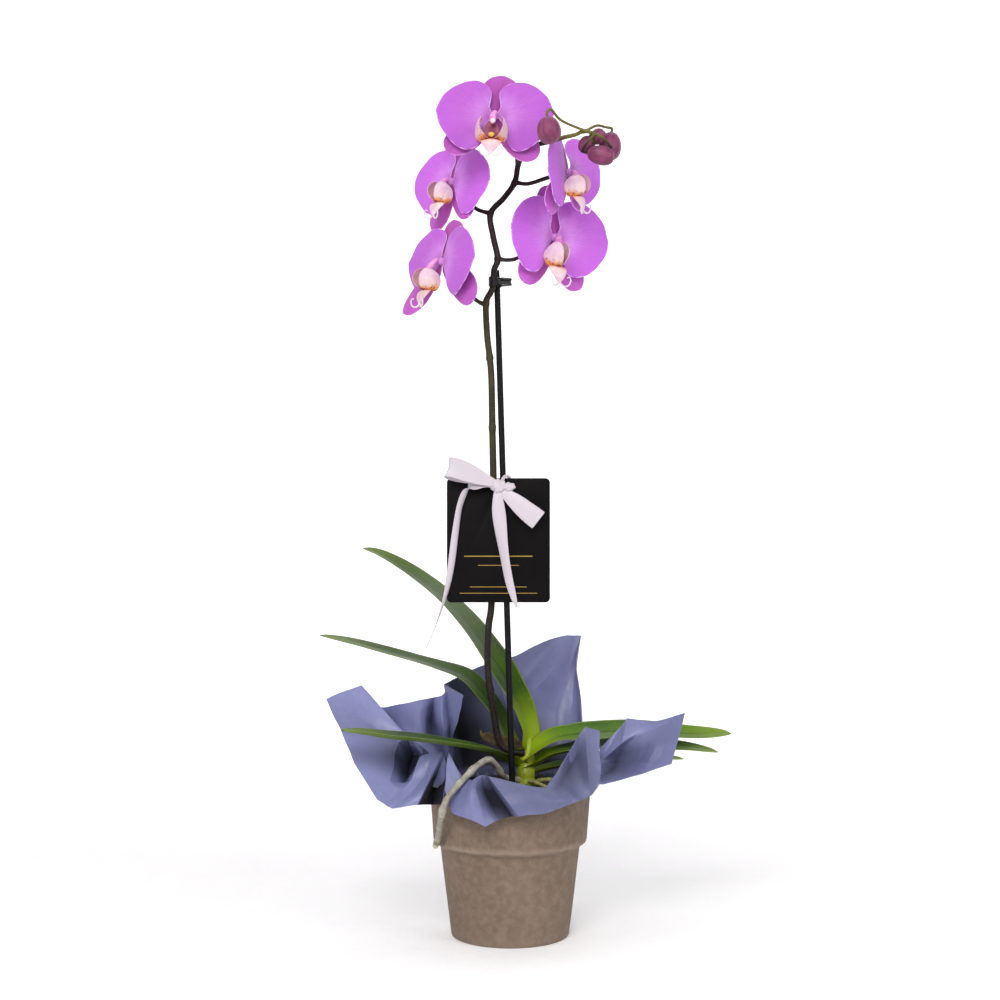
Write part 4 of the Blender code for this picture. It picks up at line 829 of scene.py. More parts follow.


# The film's ribs, counter-clockwise from the right: the angle, how sharp the crease is, and four points past
# the pot's rim as pixel across, pixel down, depth and any painted shade, the last on the free edge
WRAP_RIBS = (
    (-27, 0.6, (590, 786, -38), (596, 784, -42), (600, 783, -44), (604, 784, -46)),
    (-21, 0.3, (593, 780, -30, 0.5), (603, 777, -26, 0.7), (612, 779, -34, 0.5), (620, 780, -42, 0.3)),
    (-16, 0.2, (596, 774, -24, 0.6), (612, 770, -10, 0.9), (632, 771, -26, 0.5), (646, 772, -42, 0.2)),
    (-11, 0.6, (597, 768, -18, 0.5), (617, 762, -2, 0.85), (643, 762, -22, 0.5), (671.6, 763.8, -46)),
    (-7, 0.2, (598, 764, -12, 0.6), (620, 754, -4, 0.75), (652, 746, -24, 0.5), (679, 737, -38, 0.3)),
    (-3, 0.7, (599, 762, -9, 0.5), (622, 744, -10, 0.35), (655, 729, -18, 0.3), (686, 712.3, -30, 0.3)),
    (0, 0.2, (600, 761, -8), (618, 746, -12), (640, 733, -14), (655.2, 720.8, -14)),
    (3, 0.9, (602, 761, -8), (613, 751, -14), (623.2, 740.5, -16), (626.4, 718.6, -2)),
    (6, 0.6, (601, 763, -6), (606, 755, -8), (616, 740, -6), (623.7, 723.6, 2)),
    (9, 0.2, (600, 765, -3), (603, 759, -5), (608, 750, -5), (612, 736, -2)),
    (12, 0.6, (598, 768, 2, 0.7), (600, 762, -2, 0.4), (600, 756, -4, 0.2), (600.4, 748.8, -6)),
    (17, 0.4, (591, 772, 14, 0.9), (597, 768, 14, 0.8), (601, 766, 12, 0.6), (604, 765, 10, 0.4)),
    (23, 0.3, (588, 772, 24, 0.95), (593, 769, 26, 0.8), (597, 767, 28, 0.6), (600, 767, 30, 0.5)),
    (30, 0.3, (582, 770, 36, 0.95), (584, 755, 42, 0.6), (584, 742, 46, 0.2), (583, 728, 50)),
    (36, 0.3, (580, 768, 42, 0.95), (583, 740, 54, 0.4), (582, 712, 64), (580, 688.5, 74)),
    (43, 0.2, (575, 766, 50, 0.95), (578, 728, 68, 0.2), (577, 695, 80), (576.3, 661, 90)),
    (50, 0.7, (570, 765, 54, 0.95), (572, 722, 74, 0.2), (574, 680, 90), (581.2, 635.6, 104)),
    (57, 0.2, (560, 764, 60, 0.95), (556, 714, 80, 0.3), (566, 678, 90), (574, 635.2, 100)),
    (64, 0.9, (548, 762, 60, 0.95), (528, 704, 68, 0.3), (550, 672, 76), (567, 635, 92)),
    (73, 0.2, (541, 762, 65, 0.95), (516, 706, 74, 0.4), (532, 676, 82, 0.35), (552, 638.5, 90)),
    (80, 0.1, (533, 762, 66, 0.95), (508, 710, 78, 0.5), (518, 682, 84, 0.2), (536, 645, 87)),
    (90, 0.2, (520, 761, 68, 0.95), (500, 715, 80, 0.6), (504, 685, 82, 0.1), (515.5, 655.6, 84)),
    (102, 0.2, (505, 761, 68, 1.0), (488, 720, 78, 0.8), (486, 692, 78, 0.3), (492, 662, 76)),
    (114, 0.3, (488, 762, 64, 1.0), (476, 725, 70, 0.95), (470, 700, 68, 0.6), (468.9, 670.7, 64, 0.2)),
    (124, 0.3, (474, 764, 58, 1.0), (466, 732, 60, 1.0), (461, 706, 54, 0.9), (457, 677.5, 46, 0.6)),
    (133, 0.4, (464, 766, 50, 1.0), (459, 742, 46, 1.0), (455, 712, 38, 0.95), (450, 681, 32, 0.8)),
    (139, 1.0, (457, 768, 44, 0.8), (453, 744, 36, 0.8), (448, 716, 30, 0.8), (444.2, 684.4, 24, 0.6)),
    (144, 1.0, (453, 770, 38), (452.5, 741, 22), (458, 718, 6), (463.4, 695.3, -4)),
    (148, 1.0, (450, 770, 34), (450, 743, 26), (449, 718, 16), (446, 691, 12)),
    (152, 0.3, (447, 771, 30), (446, 746, 20), (442, 722, 6), (441, 695.3, 6)),
    (156, 0.8, (444, 772, 28), (436, 748, 28), (431, 722, 30), (434, 697, 16)),
    (161, 0.3, (442, 774, 24), (426, 752, 16), (420, 724, 12), (420, 699.8, 10)),
    (167, 0.3, (440, 776, 20), (418, 752, 6), (404, 726, 14), (402, 703.5, 14)),
    (172, 0.4, (438, 778, 14), (414, 754, 2), (392, 730, 20), (384, 707, 22)),
    (175, 1.0, (437, 779, 10), (410, 752, 8), (382, 728, 26), (370, 704, 26)),
    (178, 1.0, (434, 776, 0, 0.2), (411, 739, -22), (386, 713, -8), (361, 685, 6)),
    (184, 1.0, (428, 752, -10, 0.9), (418, 744, 6, 0.97), (405, 734, -18, 0.3), (343, 691.5, 2)),
    (190, 1.0, (423, 757, -16, 0.9), (414, 755, 4, 0.97), (398, 742, -18, 0.8), (325.6, 698.6, -8)),
    (196, 1.0, (416, 765, -22, 0.9), (410, 766, 0, 0.97), (395, 755, -26, 0.82), (332, 713, -20)),
    (202, 1.0, (411, 774, -30, 0.6), (406.5, 777, -12, 0.85), (393, 767, -34, 0.6), (340.5, 730, -34)),
    (207, 1.0, (409, 779, -36, 0.3), (405, 784, -26, 0.3), (389, 780, -50, 0.1), (353.8, 762.5, -52)),
    (212, 1.0, (420.5, 757, -34), (411, 779, -46, 0.15), (399, 793, -56), (377.1, 799.5, -66)),
    (217, 1.0, (434, 752.5, -36), (424, 777, -44, 0.3), (409, 795, -56, 0.1), (392.2, 808.5, -68)),
    (221, 1.0, (443, 752, -38), (430.2, 776, -56), (424, 790, -62), (416.6, 804.5, -64)),
    (222, 1.0, (443.6, 755, -38, 0.3), (431, 777, -50, 1.0), (425, 790.5, -54, 1.0), (418, 804.5, -56, 1.0)),
    (223.5, 1.0, (445, 757, -37, 0.5), (438, 777.5, -26, 1), (434, 790, -24, 1), (431.5, 804.5, -25, 1)),
    (225, 1.0, (446, 759, -36, 0.6), (445.4, 778.6, -40, 1), (443.4, 792, -43, 1), (442, 804.5, -47, 1)),
    (226, 1.0, (447, 761, -37), (446, 779, -47), (444, 792, -50), (442.9, 804.5, -53)),
    (231, 1.0, (456, 778, -42), (448.4, 751.5, -42), (446, 770, -50), (444.5, 789, -54, 0.3)),
    (236, 0.7, (466, 778, -50), (462, 780, -52), (455, 792, -56), (449, 806, -58)),
    (242, 0.4, (472, 780, -60), (466, 786, -64), (459, 800, -66), (453, 813.5, -68)),
    (248, 0.2, (476, 777.5, -66), (470, 789, -80, 0.1), (469, 806, -84), (471, 819.5, -84)),
    (253, 0.6, (480, 775.5, -68, 0.3), (475.5, 788, -83, 0.6), (480, 805, -86, 0.45), (485.3, 826.8, -86)),
    (257, 0.6, (483, 775, -66, 0.7), (484.5, 790, -70, 1.0), (492, 805, -72.5, 1.0), (500, 819, -80, 0.85)),
    (261, 0.6, (486, 775.5, -66, 0.8), (494, 791, -70, 1.0), (504, 805, -73, 1.0), (512, 816, -80, 1.0)),
    (265, 1.0, (488.6, 776.5, -70, 0.4), (498, 789, -86, 0.5), (509, 803.5, -90, 0.5), (519, 816, -88, 0.5)),
    (272, 0.2, (501, 779, -75, 0.55), (512, 790, -84, 0.58), (522, 803, -86, 0.55), (531, 814.5, -85, 0.5)),
    (280, 0.2, (515, 782.5, -76, 0.55), (524, 792, -82, 0.6), (534, 803, -84, 0.62), (543, 813.6, -83, 0.55)),
    (288, 0.4, (530, 786, -75, 0.55), (540, 793, -80, 0.6), (549, 802, -82, 0.62), (557, 810, -81, 0.55)),
    (295, 0.5, (545, 788, -70, 0.6), (554, 794, -76, 0.62), (562, 800, -78, 0.62), (568, 805.5, -77, 0.55)),
    (302, 0.3, (556, 774, -60, 0.6), (560, 784, -64, 0.8), (568, 793, -71, 0.65), (578, 801, -72, 0.55)),
    (308, 0.2, (566, 757, -54, 0.65), (569, 771, -52, 0.9), (577, 786, -60, 0.7), (584, 799, -68, 0.55)),
    (314, 0.2, (577, 739, -50, 0.6), (577, 757, -46, 0.85), (582, 779, -57, 0.75), (588, 797, -66, 0.6)),
    (320, 0.8, (585.3, 726.8, -46, 0.55), (587, 750, -54, 0.7), (589, 775, -62, 0.7), (592, 795, -64, 0.6)),
    (326, 0.9, (597.7, 731, -44, 0.45), (599, 750, -52, 0.5), (601, 770, -58, 0.5), (597, 788, -58, 0.4)),
    (329.5, 0.8, (596, 745, -38), (597, 760, -40), (600, 775, -44), (600, 784, -46)),
)
# The film's flat size in metres, its thickness, and how far a fold's hollow is felt for its painted shade, in
# metres
FLAT_FILM, FILM_THICK, HOLLOW_REACH = (0.40, 0.40), 0.4, 0.13

# Small folds pressed into the film: both ends in the photograph's pixels, how far the fold stands towards the
# viewer in millimetres, its reach to either side, and the ribs' angles it lies between
FOLDS = (
    (388, 806, 400, 788, 3.0, 5, 200, 219),
    (655, 748, 640, 776, 3.0, 8, -26, 2),
    (601, 774, 616, 768, 5.0, 5, -29, -4),
    (546, 814, 570, 805, -2.0, 5, 282, 318),
    (496, 668, 508, 712, 3.0, 12, 66, 122),
)


def fold_measure(fold, point):
    """How far along a fold and how far off it a point is seen, and the fold's length, in pixels."""
    u0, v0, u1, v1 = fold[:4]
    across, down = seen(point)
    length = math.hypot(u1 - u0, v1 - v0)
    s = ((across - u0) * (u1 - u0) + (down - v0) * (v1 - v0)) / length
    off = abs((across - u0) * (v1 - v0) - (down - v0) * (u1 - u0)) / length
    return s, off, length


def fold_rise(point, angle):
    """How far the folds bring a point of the film towards the viewer."""
    rise = 0.0
    for fold in FOLDS:
        height, reach, low, high = fold[4:]
        if not low < angle < high:
            continue
        s, off, length = fold_measure(fold, point)
        body = 1.0 - off / reach
        ends = min(1.0, 1.0 + s / reach, 1.0 + (length - s) / reach)
        sides = min(1.0, (angle - low) / 5.0, (high - angle) / 5.0)
        if body > 0.0 and ends > 0.0:
            rise += height * body * ends * sides
    return rise


def press_folds(piece):
    """Cuts the film along each fold's ridge and feet, then moves the points, so every fold stays crisp."""
    shape = bmesh.new()
    shape.from_mesh(piece.data)
    angle = shape.verts.layers.float["angle"]
    ease = shape.verts.layers.float["ease"]
    for fold in FOLDS:
        u0, v0, u1, v1, _, reach, low, high = fold
        length = math.hypot(u1 - u0, v1 - v0)
        side = ((v1 - v0) / length * reach, (u0 - u1) / length * reach)
        for step in (0.0, 1.0, -1.0):
            faces = []
            for face in shape.faces:
                corner = face.verts[0]
                if low - 1 < corner[angle] < high + 1 and corner[ease] > 0.0:
                    s, off, _ = fold_measure(fold, face.calc_center_median() / MM)
                    if -reach < s < length + reach and off < reach + 5:
                        faces.append(face)
            ways = [sight(u + side[0] * step, v + side[1] * step) for u, v in ((u0, v0), (u1, v1))]
            parts = set(faces) | {e for f in faces for e in f.edges} | {p for f in faces for p in f.verts}
            bmesh.ops.bisect_plane(shape, geom=list(parts), dist=2e-5, plane_co=camera.location,
                                   plane_no=ways[0].cross(ways[1]).normalized())
    for vert in shape.verts:
        if vert[ease] > 0.0:
            vert.co.y -= fold_rise(vert.co / MM, vert[angle]) * vert[ease] * MM
    shape.to_mesh(piece.data)
    shape.free()


def crinkle(point):
    """Shallow facets that meet in sharp valleys, as in film that has been pressed together."""
    coarse, _ = noise.voronoi(point * 0.034 + Vector((3.0, 1.0, 7.0)))
    small, _ = noise.voronoi(point * 0.075)
    waves = 1.2 * noise.noise(point * 0.045)
    return 2.4 * (coarse[1] - coarse[0]) + 0.6 * (small[1] - small[0]) + waves - 1.0


# What closes the film in, and the turn that spreads rays evenly over a half ball
HOLLOW_WALLS = ("clay_pot", "plant_crown", "growing_medium", "leaf_1", "leaf_2", "leaf_3", "leaf_4", "leaf_5")
GOLDEN_TURN = 2.399963


def mark_hollows(piece, reach, rays=28):
    """Marks how closed in each point is, from 0 in the open to 1 deep in a fold, for the film's painted
    shade.
    """
    verts, faces = [], []
    for wall in [piece] + [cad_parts[name] for name in HOLLOW_WALLS]:
        first = len(verts)
        verts += [wall.matrix_world @ v.co for v in wall.data.vertices]
        faces += [[first + k for k in face.vertices] for face in wall.data.polygons]
    tree = BVHTree.FromPolygons(verts, faces)
    ways = []
    for k in range(rays):
        z, turn = (k + 0.5) / rays, GOLDEN_TURN * k
        ways.append(Vector((math.cos(turn) * math.sqrt(1 - z * z), math.sin(turn) * math.sqrt(1 - z * z), z)))
    hollows = []
    for vert in piece.data.vertices:
        turn = vert.normal.to_track_quat("Z", "Y")
        start = vert.co + vert.normal * 0.0006
        met = sum(way.z for way in ways if tree.ray_cast(start, turn @ way, reach)[0] is not None)
        hollows.append(2.0 * met / rays)
    for _ in range(3):
        total, near = list(hollows), [1] * len(hollows)
        for edge in piece.data.edges:
            a, b = edge.vertices
            total[a] += hollows[b]
            total[b] += hollows[a]
            near[a] += 1
            near[b] += 1
        hollows = [t / n for t, n in zip(total, near)]
    set_values(piece, "hollow", hollows)


# Between the pots the film has three rings on the floor, then pleats up to the rim. Past the rim each rib has
# four stretches of rows, and FAN columns lead from it to the next
FAN, CUP_ROWS, STRETCHES, STRETCH_ROWS = 6, 12, 4, 10
CUP_RINGS, CUP_FLOOR = (0.0, 25.0, 42.6), 8.1
PLEAT_FOOT, PLEAT_TOP = (44.2, 9.1), (61.7, 129.0)
RIM_REACH, RIM_LEVEL = 66.0, 132.8


def cup_point(row, column, turn):
    """The film between the pots."""
    out = Vector((math.cos(turn), math.sin(turn), 0.0))
    if row < 3:
        return out * CUP_RINGS[row] + Vector((0.0, 0.0, CUP_FLOOR))
    s = (row - 3) / (CUP_ROWS - 3)
    pleat = (0.45 + 0.75 * s) * (1.0 if s < 0.95 else 0.4)
    radius = PLEAT_FOOT[0] + (PLEAT_TOP[0] - PLEAT_FOOT[0]) * s + pleat * (1 if column % 4 in (0, 1) else -1)
    return out * radius + Vector((0.0, 0.0, PLEAT_FOOT[1] + (PLEAT_TOP[1] - PLEAT_FOOT[1]) * s))


def make_wrap():
    """The film: pleated between the pots, over the rim, and out into its folds and corners."""
    ribs = []
    for angle, sharp, *points in WRAP_RIBS:
        turn = math.radians(angle)
        rim = Vector((math.cos(turn) * RIM_REACH, math.sin(turn) * RIM_REACH, RIM_LEVEL))
        # The rim and the film between the pots carry a painted shade of 0.3, the ribs' points carry theirs
        painted_rib_shades = [0.3] + [p[3] if len(p) > 3 else 0.0 for p in points]
        crease = 1.0 if sharp > 0.45 else 0.5 * sharp
        ribs.append((angle, [rim] + [at(*p[:3]) for p in points], crease, painted_rib_shades))
    count = len(ribs)
    columns, flare_rows = count * FAN, STRETCHES * STRETCH_ROWS
    rows = CUP_ROWS + flare_rows

    def rib_point(i, k):
        """Row k on a rib: between its straight and its smooth run."""
        stops = ribs[i % count][1]
        part = min(k // STRETCH_ROWS, STRETCHES - 1)
        t = (k - part * STRETCH_ROWS) / STRETCH_ROWS
        b, c = stops[part], stops[part + 1]
        a = stops[part - 1] if part else b * 2 - c
        d = stops[part + 2] if part + 2 <= STRETCHES else c * 2 - b
        return b.lerp(c, t).lerp(bent(a, b, c, d, t), 0.1 if 180 < ribs[i % count][0] < 232 else 0.6)

    def row_point(k, i, t):
        """The point on row k between rib i and the next, as a curve that keeps the sharp creases."""
        p0, p1, p2, p3 = (rib_point(i + n, k) for n in (-1, 0, 1, 2))
        h0, h1, h2 = ((q - p).length + 1e-6 for p, q in ((p0, p1), (p1, p2), (p2, p3)))
        chord = p2 - p1
        m1 = ((p2 - p0) * (h1 / (h0 + h1))).lerp(chord, ribs[i][2])
        m2 = ((p3 - p1) * (h1 / (h1 + h2))).lerp(chord, ribs[(i + 1) % count][2])
        return (p1 * (2 * t ** 3 - 3 * t * t + 1) + m1 * (t ** 3 - 2 * t * t + t)
                + p2 * (3 * t * t - 2 * t ** 3) + m2 * (t ** 3 - t * t))

    def spot(u, v):
        """A grid point's column and row, its rib and how far it lies to the next, and its angle and ease."""
        column, row = round(u * columns) % columns, round(v * rows)
        i, t = column // FAN, (column % FAN) / FAN
        angle = ribs[i][0] + ((ribs[(i + 1) % count][0] - ribs[i][0]) % 360.0) * t
        return column, row, i, t, angle, min(1.0, max(0.0, (row - CUP_ROWS - 3) / 10.0))

    def place(u, v):
        column, row, i, t, angle, ease = spot(u, v)
        if row < CUP_ROWS:
            return cup_point(row, column, math.radians(angle))
        point = row_point(row - CUP_ROWS, i, t)
        away = Vector((point.x, point.y, 0.0)).normalized()
        return point + (away * 0.6 + Vector((0, 0, 0.4))) * crinkle(point) * ease

    def marks(u, v):
        _, row, i, t, angle, ease = spot(u, v)
        step = max(0.0, row - CUP_ROWS) / flare_rows
        # Painted shade, read along the ribs and spread between them
        shade = along(ribs[i][3], step) * (1 - t) + along(ribs[(i + 1) % count][3], step) * t
        return {"angle": angle, "ease": ease, "shade": shade}

    wrap = grid_piece("film_wrap", columns, rows, place, marks)
    merge_doubles(wrap)
    press_folds(wrap)
    thicken(wrap, FILM_THICK, 0)
    smooth_all(wrap, 24)
    mark_hollows(wrap, HOLLOW_REACH)
    finish_piece(wrap, film_look(), "film", "wrap_sheet")


# Leaves, crown and roots. A leaf has its route, its half width, the ways its width points at foot and tip,
# and how deep it is folded

OLD_LEAF = (
    (14.0, 6.0, 164.0), (3.0, 6.4, 168.0), (-8.0, 5.6, 169.5), (-20.0, 5.4, 173.0), (-27.0, 5.0, 176.5),
)
LEAVES = (
    ("leaf_1", ((14.0, 5.0, 161.0), (15.4, 13.5, 174.0), (12.8, 17.0, 185.0), (6.6, 24.0, 202.0),
                (-4.0, 34.0, 221.0), (-18.6, 45.0, 242.5), (-36.6, 55.0, 266.4), (-57.0, 63.0, 288.0),
                (-73.8, 68.0, 302.5), (-97.3, 73.0, 319.0), (-120.8, 77.0, 332.8),
                (-136.8, 80.0, 339.2)), 21.0, (0.6, 0.75, 0.25), (0.3, 0.95, 0.12), 0.24),
    ("leaf_2", ((14.0, 5.0, 148.0), (5.0, 15.0, 156.0), (-3.0, 21.5, 171.0), (-11.7, 25.0, 191.2),
                (-26.4, 28.0, 210.0), (-37.5, 31.0, 221.5), (-49.7, 33.0, 227.6), (-63.4, 36.0, 231.6),
                (-91.0, 42.0, 239.4), (-118.7, 47.0, 246.6), (-146.4, 51.0, 253.9), (-174.3, 55.0, 260.0)),
     17.6, (0.35, 0.85, 0.45), (0.2, 1.0, 0.03), 0.2),
    ("leaf_3", ((14.0, 4.0, 146.0), (2.0, 3.0, 151.0), (-9.0, -6.0, 157.5), (-17.0, -18.0, 163.0),
                (-26.4, -30.0, 167.8), (-52.0, -46.0, 174.5), (-77.1, -58.0, 179.6),
                (-102.0, -68.0, 183.5), (-122.5, -76.0, 188.0), (-142.2, -82.0, 191.4)),
     16.0, (-0.5, 0.86, 0.0), (-0.4, 0.9, 0.05), 0.26),
    ("leaf_4", ((14.0, 4.0, 154.0), (27.0, 1.5, 164.5), (44.6, 10.0, 172.0), (81.0, 24.0, 174.0),
                (118.0, 36.0, 173.2), (165.0, 50.0, 169.0), (203.8, 60.0, 169.0)),
     20.5, (-0.3, 0.92, 0.25), (-0.3, 0.9, 0.25), 0.22),
    ("leaf_5", ((14.0, 4.0, 145.0), (26.0, 1.0, 152.0), (38.0, 0.0, 158.4), (62.3, 8.0, 162.5),
                (98.7, 20.0, 162.0), (154.3, 36.0, 158.9), (190.0, 46.0, 154.0)),
     17.0, (-0.3, 0.95, 0.0), (-0.3, 0.9, 0.2), 0.26),
    ("leaf_6", ((14.0, 4.0, 139.0), (27.0, 10.0, 143.0), (60.0, 23.0, 148.0), (110.0, 42.0, 150.0),
                (160.7, 66.0, 144.8)), 13.0, (-0.45, 0.89, 0.0), (-0.4, 0.9, 0.1), 0.24),
)

# How wide a leaf is at its foot as a share of its width, and how strong the painted grey sheen past its
# middle is
SHEATHS = {"leaf_1": 0.44, "leaf_2": 0.40, "leaf_3": 0.46, "leaf_4": 0.44, "leaf_5": 0.40}
PAINTED_LEAF_SHEEN = {"leaf_1": 0.28, "leaf_2": 0.10}
LEAF_STEPS, LEAF_SIDES = 64, 28


def make_leaf(name, points, half_width, foot_way, tip_way, fold, look):
    """A fleshy strap leaf, closed all round: a groove on top, a keel below, thin round margins."""
    route = smooth_route(points, LEAF_STEPS + 1)
    ways = tangents(route)
    seed = sum(map(ord, name))

    def place(u, v):
        i = round(v * LEAF_STEPS)
        turn = 2 * math.pi * u
        s, t = math.cos(turn), math.sin(turn)
        side, up = across_way(Vector(foot_way).lerp(Vector(tip_way), min(1.0, 1.6 * v)), ways[i])
        if up.z < 0:
            up, side, s = -up, side, s
        rise = min(1.0, SHEATHS.get(name, 0.34) + 1.7 * v)
        taper = max(0.0, 1.0 - max(0.0, (v - 0.5) / 0.5) ** 2.2) ** 0.5
        half = half_width * rise * max(taper, 0.02)
        wave = 0.02 * half * math.sin(9.0 * v + seed) * abs(s)
        slope = fold * (1.0 + 1.6 * max(0.0, 0.25 - v) / 0.25)
        bend = (math.sqrt(s * s + 0.006) - 0.077) * slope * half + wave
        body = 1.15 * (1.0 - 0.45 * s * s) * min(1.0, max(taper, 0.08) * 1.6)
        keel = -0.5 * max(0.0, 1.0 - abs(s) * 5.0) * (1.0 if t < 0 else -0.35)
        return route[i] + side * (half * s) + up * (bend + t * body + keel)

    def marks(u, v):
        under = 1.0 if math.sin(2 * math.pi * u) < -0.05 else 0.0
        return {"under": under, "pale": PAINTED_LEAF_SHEEN.get(name, 0.0)}

    leaf = grid_piece(name + "_blade", LEAF_SIDES, LEAF_STEPS, place, marks)
    remap(leaf, lambda u, v: ((math.cos(2 * math.pi * u) + 1) / 2, v))
    merge_doubles(leaf, 2e-5)
    close_ends(leaf)
    smooth_all(leaf)
    return finish_piece(leaf, look, "leaf", name)


def make_leaves():
    tall = leaf_look("leaf_green", srgb(20, 47, 0), srgb(53, 83, 4), srgb(118, 140, 60))
    flat = leaf_look("leaf_flat_green", srgb(36, 74, 0), srgb(82, 118, 8), srgb(132, 156, 48))
    for entry in LEAVES:
        make_leaf(*entry, flat if entry[0] in ("leaf_4", "leaf_5", "leaf_6") else tall)
    dry = simple_look("dry_leaf", srgb(52, 40, 16), srgb(90, 74, 32), 0.7, 0.9, 140.0, (300.0, 1400.0), 0.7,
                      0.0006, srgb(40, 28, 16))
    stub = make_leaf("old_leaf_base", OLD_LEAF, 5.6, (0.1, 0.05, 1.0), (0.1, 0.05, 1.0), 0.25, dry)
    for vert in stub.data.vertices:
        torn = max(0.0, vert.co.z / MM - 170.0) * max(0.0, -vert.co.x / MM) * 0.05
        vert.co += noise.noise_vector(vert.co * 200.0) * 0.0007
        vert.co.z += noise.noise(Vector((vert.co.x * 400.0, 0.0, 5.0))) * 0.0004 * torn


CROWN_PROFILE = (
    (0.0, 119.0), (6.0, 119.0), (7.4, 122.0), (8.0, 130.0), (7.8, 136.0), (7.0, 137.2), (7.4, 139.0),
    (7.2, 146.0), (6.2, 147.4), (6.6, 149.6), (6.0, 156.0), (5.0, 157.2), (5.2, 160.0), (4.6, 165.0),
    (3.6, 169.0), (2.0, 171.4), (0.0, 172.0),
)


def make_crown():
    """The short stem: a stack of leaf sheaths round a thick core."""
    skin = simple_look("crown_skin", srgb(124, 144, 14), srgb(164, 174, 40), 0.4, 0.55, 70.0, bump=0.25,
                       tint=srgb(120, 92, 44), Subsurface_Weight=0.05, Subsurface_Scale=0.002)
    crown = turned_piece("crown_stem", CROWN_PROFILE, 48, 70, CROWN)
    for vert in crown.data.vertices:
        x, y, z = vert.co.x - CROWN.x * MM, vert.co.y - CROWN.y * MM, vert.co.z / MM
        lean = max(0.0, z - 146.0) / 26.0
        turn = math.atan2(y, x)
        fin = 1.0 + 0.10 * math.cos(2 * turn) + 0.03 * math.cos(7 * turn + z * 0.2)
        vert.co.x = CROWN.x * MM + x * fin + 0.003 * lean
        vert.co.y = CROWN.y * MM + y / fin + 0.008 * lean
    finish_piece(crown, skin, "crown", "plant_crown")


# Routes of the roots. The small ones also have their radius
AERIAL_ROOT = (
    (12.0, 3.0, 134.5), (1.0, -3.0, 137.5), (-6.5, -12.0, 142.0), (-13.0, -24.0, 153.0),
    (-19.0, -34.0, 159.3),
    (-28.7, -46.0, 155.8), (-38.0, -57.0, 148.2), (-46.5, -62.5, 140.0), (-53.8, -64.0, 131.0),
    (-57.3, -63.0, 122.0), (-59.7, -58.0, 111.0), (-61.8, -46.0, 96.2), (-65.0, -33.0, 83.5),
)
SURFACE_ROOTS = (
    ("surface_root_1", 1.7, ((16.0, 2.0, 134.0), (19.0, -12.0, 136.5), (27.0, -26.0, 136.0),
                             (36.0, -36.0, 131.5), (39.0, -39.0, 124.0))),
    ("surface_root_2", 2.0, ((16.0, 3.0, 132.0), (30.0, -5.0, 137.0), (42.0, -12.0, 136.5),
                             (49.0, -17.0, 131.0), (50.0, -19.0, 123.0))),
)


def make_roots():
    """The grey root that arches over the film, and two green ones on the bark."""
    green = simple_look("green_root_skin", srgb(104, 104, 48), srgb(156, 154, 96), 0.6, 0.8, 120.0,
                        (260.0, 1400.0), 0.4, 0.0005, srgb(84, 66, 36))
    steps = 110
    radii = []
    for i in range(steps):
        u = i / (steps - 1)
        knots = 0.16 * math.sin(37 * u) * math.sin(11 * u) + 0.10 * noise.noise(Vector((u * 30, 0, 0)))
        end = 1.0 - 0.35 * max(0.0, (u - 0.93) / 0.07) ** 2
        radii.append(2.9 * (1.0 + knots) * end)
    root = tube_piece("aerial_root_skin", smooth_route(AERIAL_ROOT, steps), radii, 20)
    roughen(root, 170.0, 0.0005)
    finish_piece(root, root_look(), "root", "aerial_root")
    for name, radius, points in SURFACE_ROOTS:
        widths = [radius * (1 + 0.12 * math.sin(0.8 * k)) for k in range(40)]
        small = tube_piece(name + "_skin", smooth_route(points, 40), widths, 14)
        finish_piece(small, green, "root", name)


# Spike, stake and clip

SPIKE_ROUTE = (
    (12.0, 4.0, 159.0), (2.0, 0.5, 161.0), (-6.5, 0.0, 165.0), (-11.0, 0.0, 174.0), (-14.3, 0.0, 193.5),
    (-17.6, -3.0, 216.0), (-20.0, -4.0, 239.0), (-19.1, -4.0, 272.0), (-16.6, -3.0, 292.0),
    (-16.0, 0.0, 345.0), (-15.0, 0.0, 400.0), (-14.9, 0.0, 406.0), (-15.8, 0.0, 448.7),
    (-16.6, 0.0, 491.0), (-18.2, 0.0, 510.7), (-20.5, 0.0, 531.0), (-21.4, 0.0, 558.4),
    (-17.4, -2.0, 567.3), (-15.2, -3.0, 573.5), (-14.3, -4.0, 586.9), (-11.0, -4.0, 597.5),
    (-15.2, -3.0, 617.7), (-17.4, -2.0, 637.4), (-5.5, 0.0, 651.6), (4.0, 2.0, 665.7),
    (7.0, -4.0, 680.0), (12.0, -26.0, 688.0), (20.0, -44.0, 689.0), (27.0, -57.0, 688.0),
    (36.0, -62.0, 689.0), (46.0, -58.0, 693.0), (55.8, -52.0, 696.5), (64.0, -52.0, 699.5),
    (78.0, -55.0, 693.5), (86.5, -58.0, 683.5),
)
# The heights of the spike's joints
SPIKE_NODES = (216.0, 448.0, 510.0, 558.0, 597.0, 637.0, 665.0)
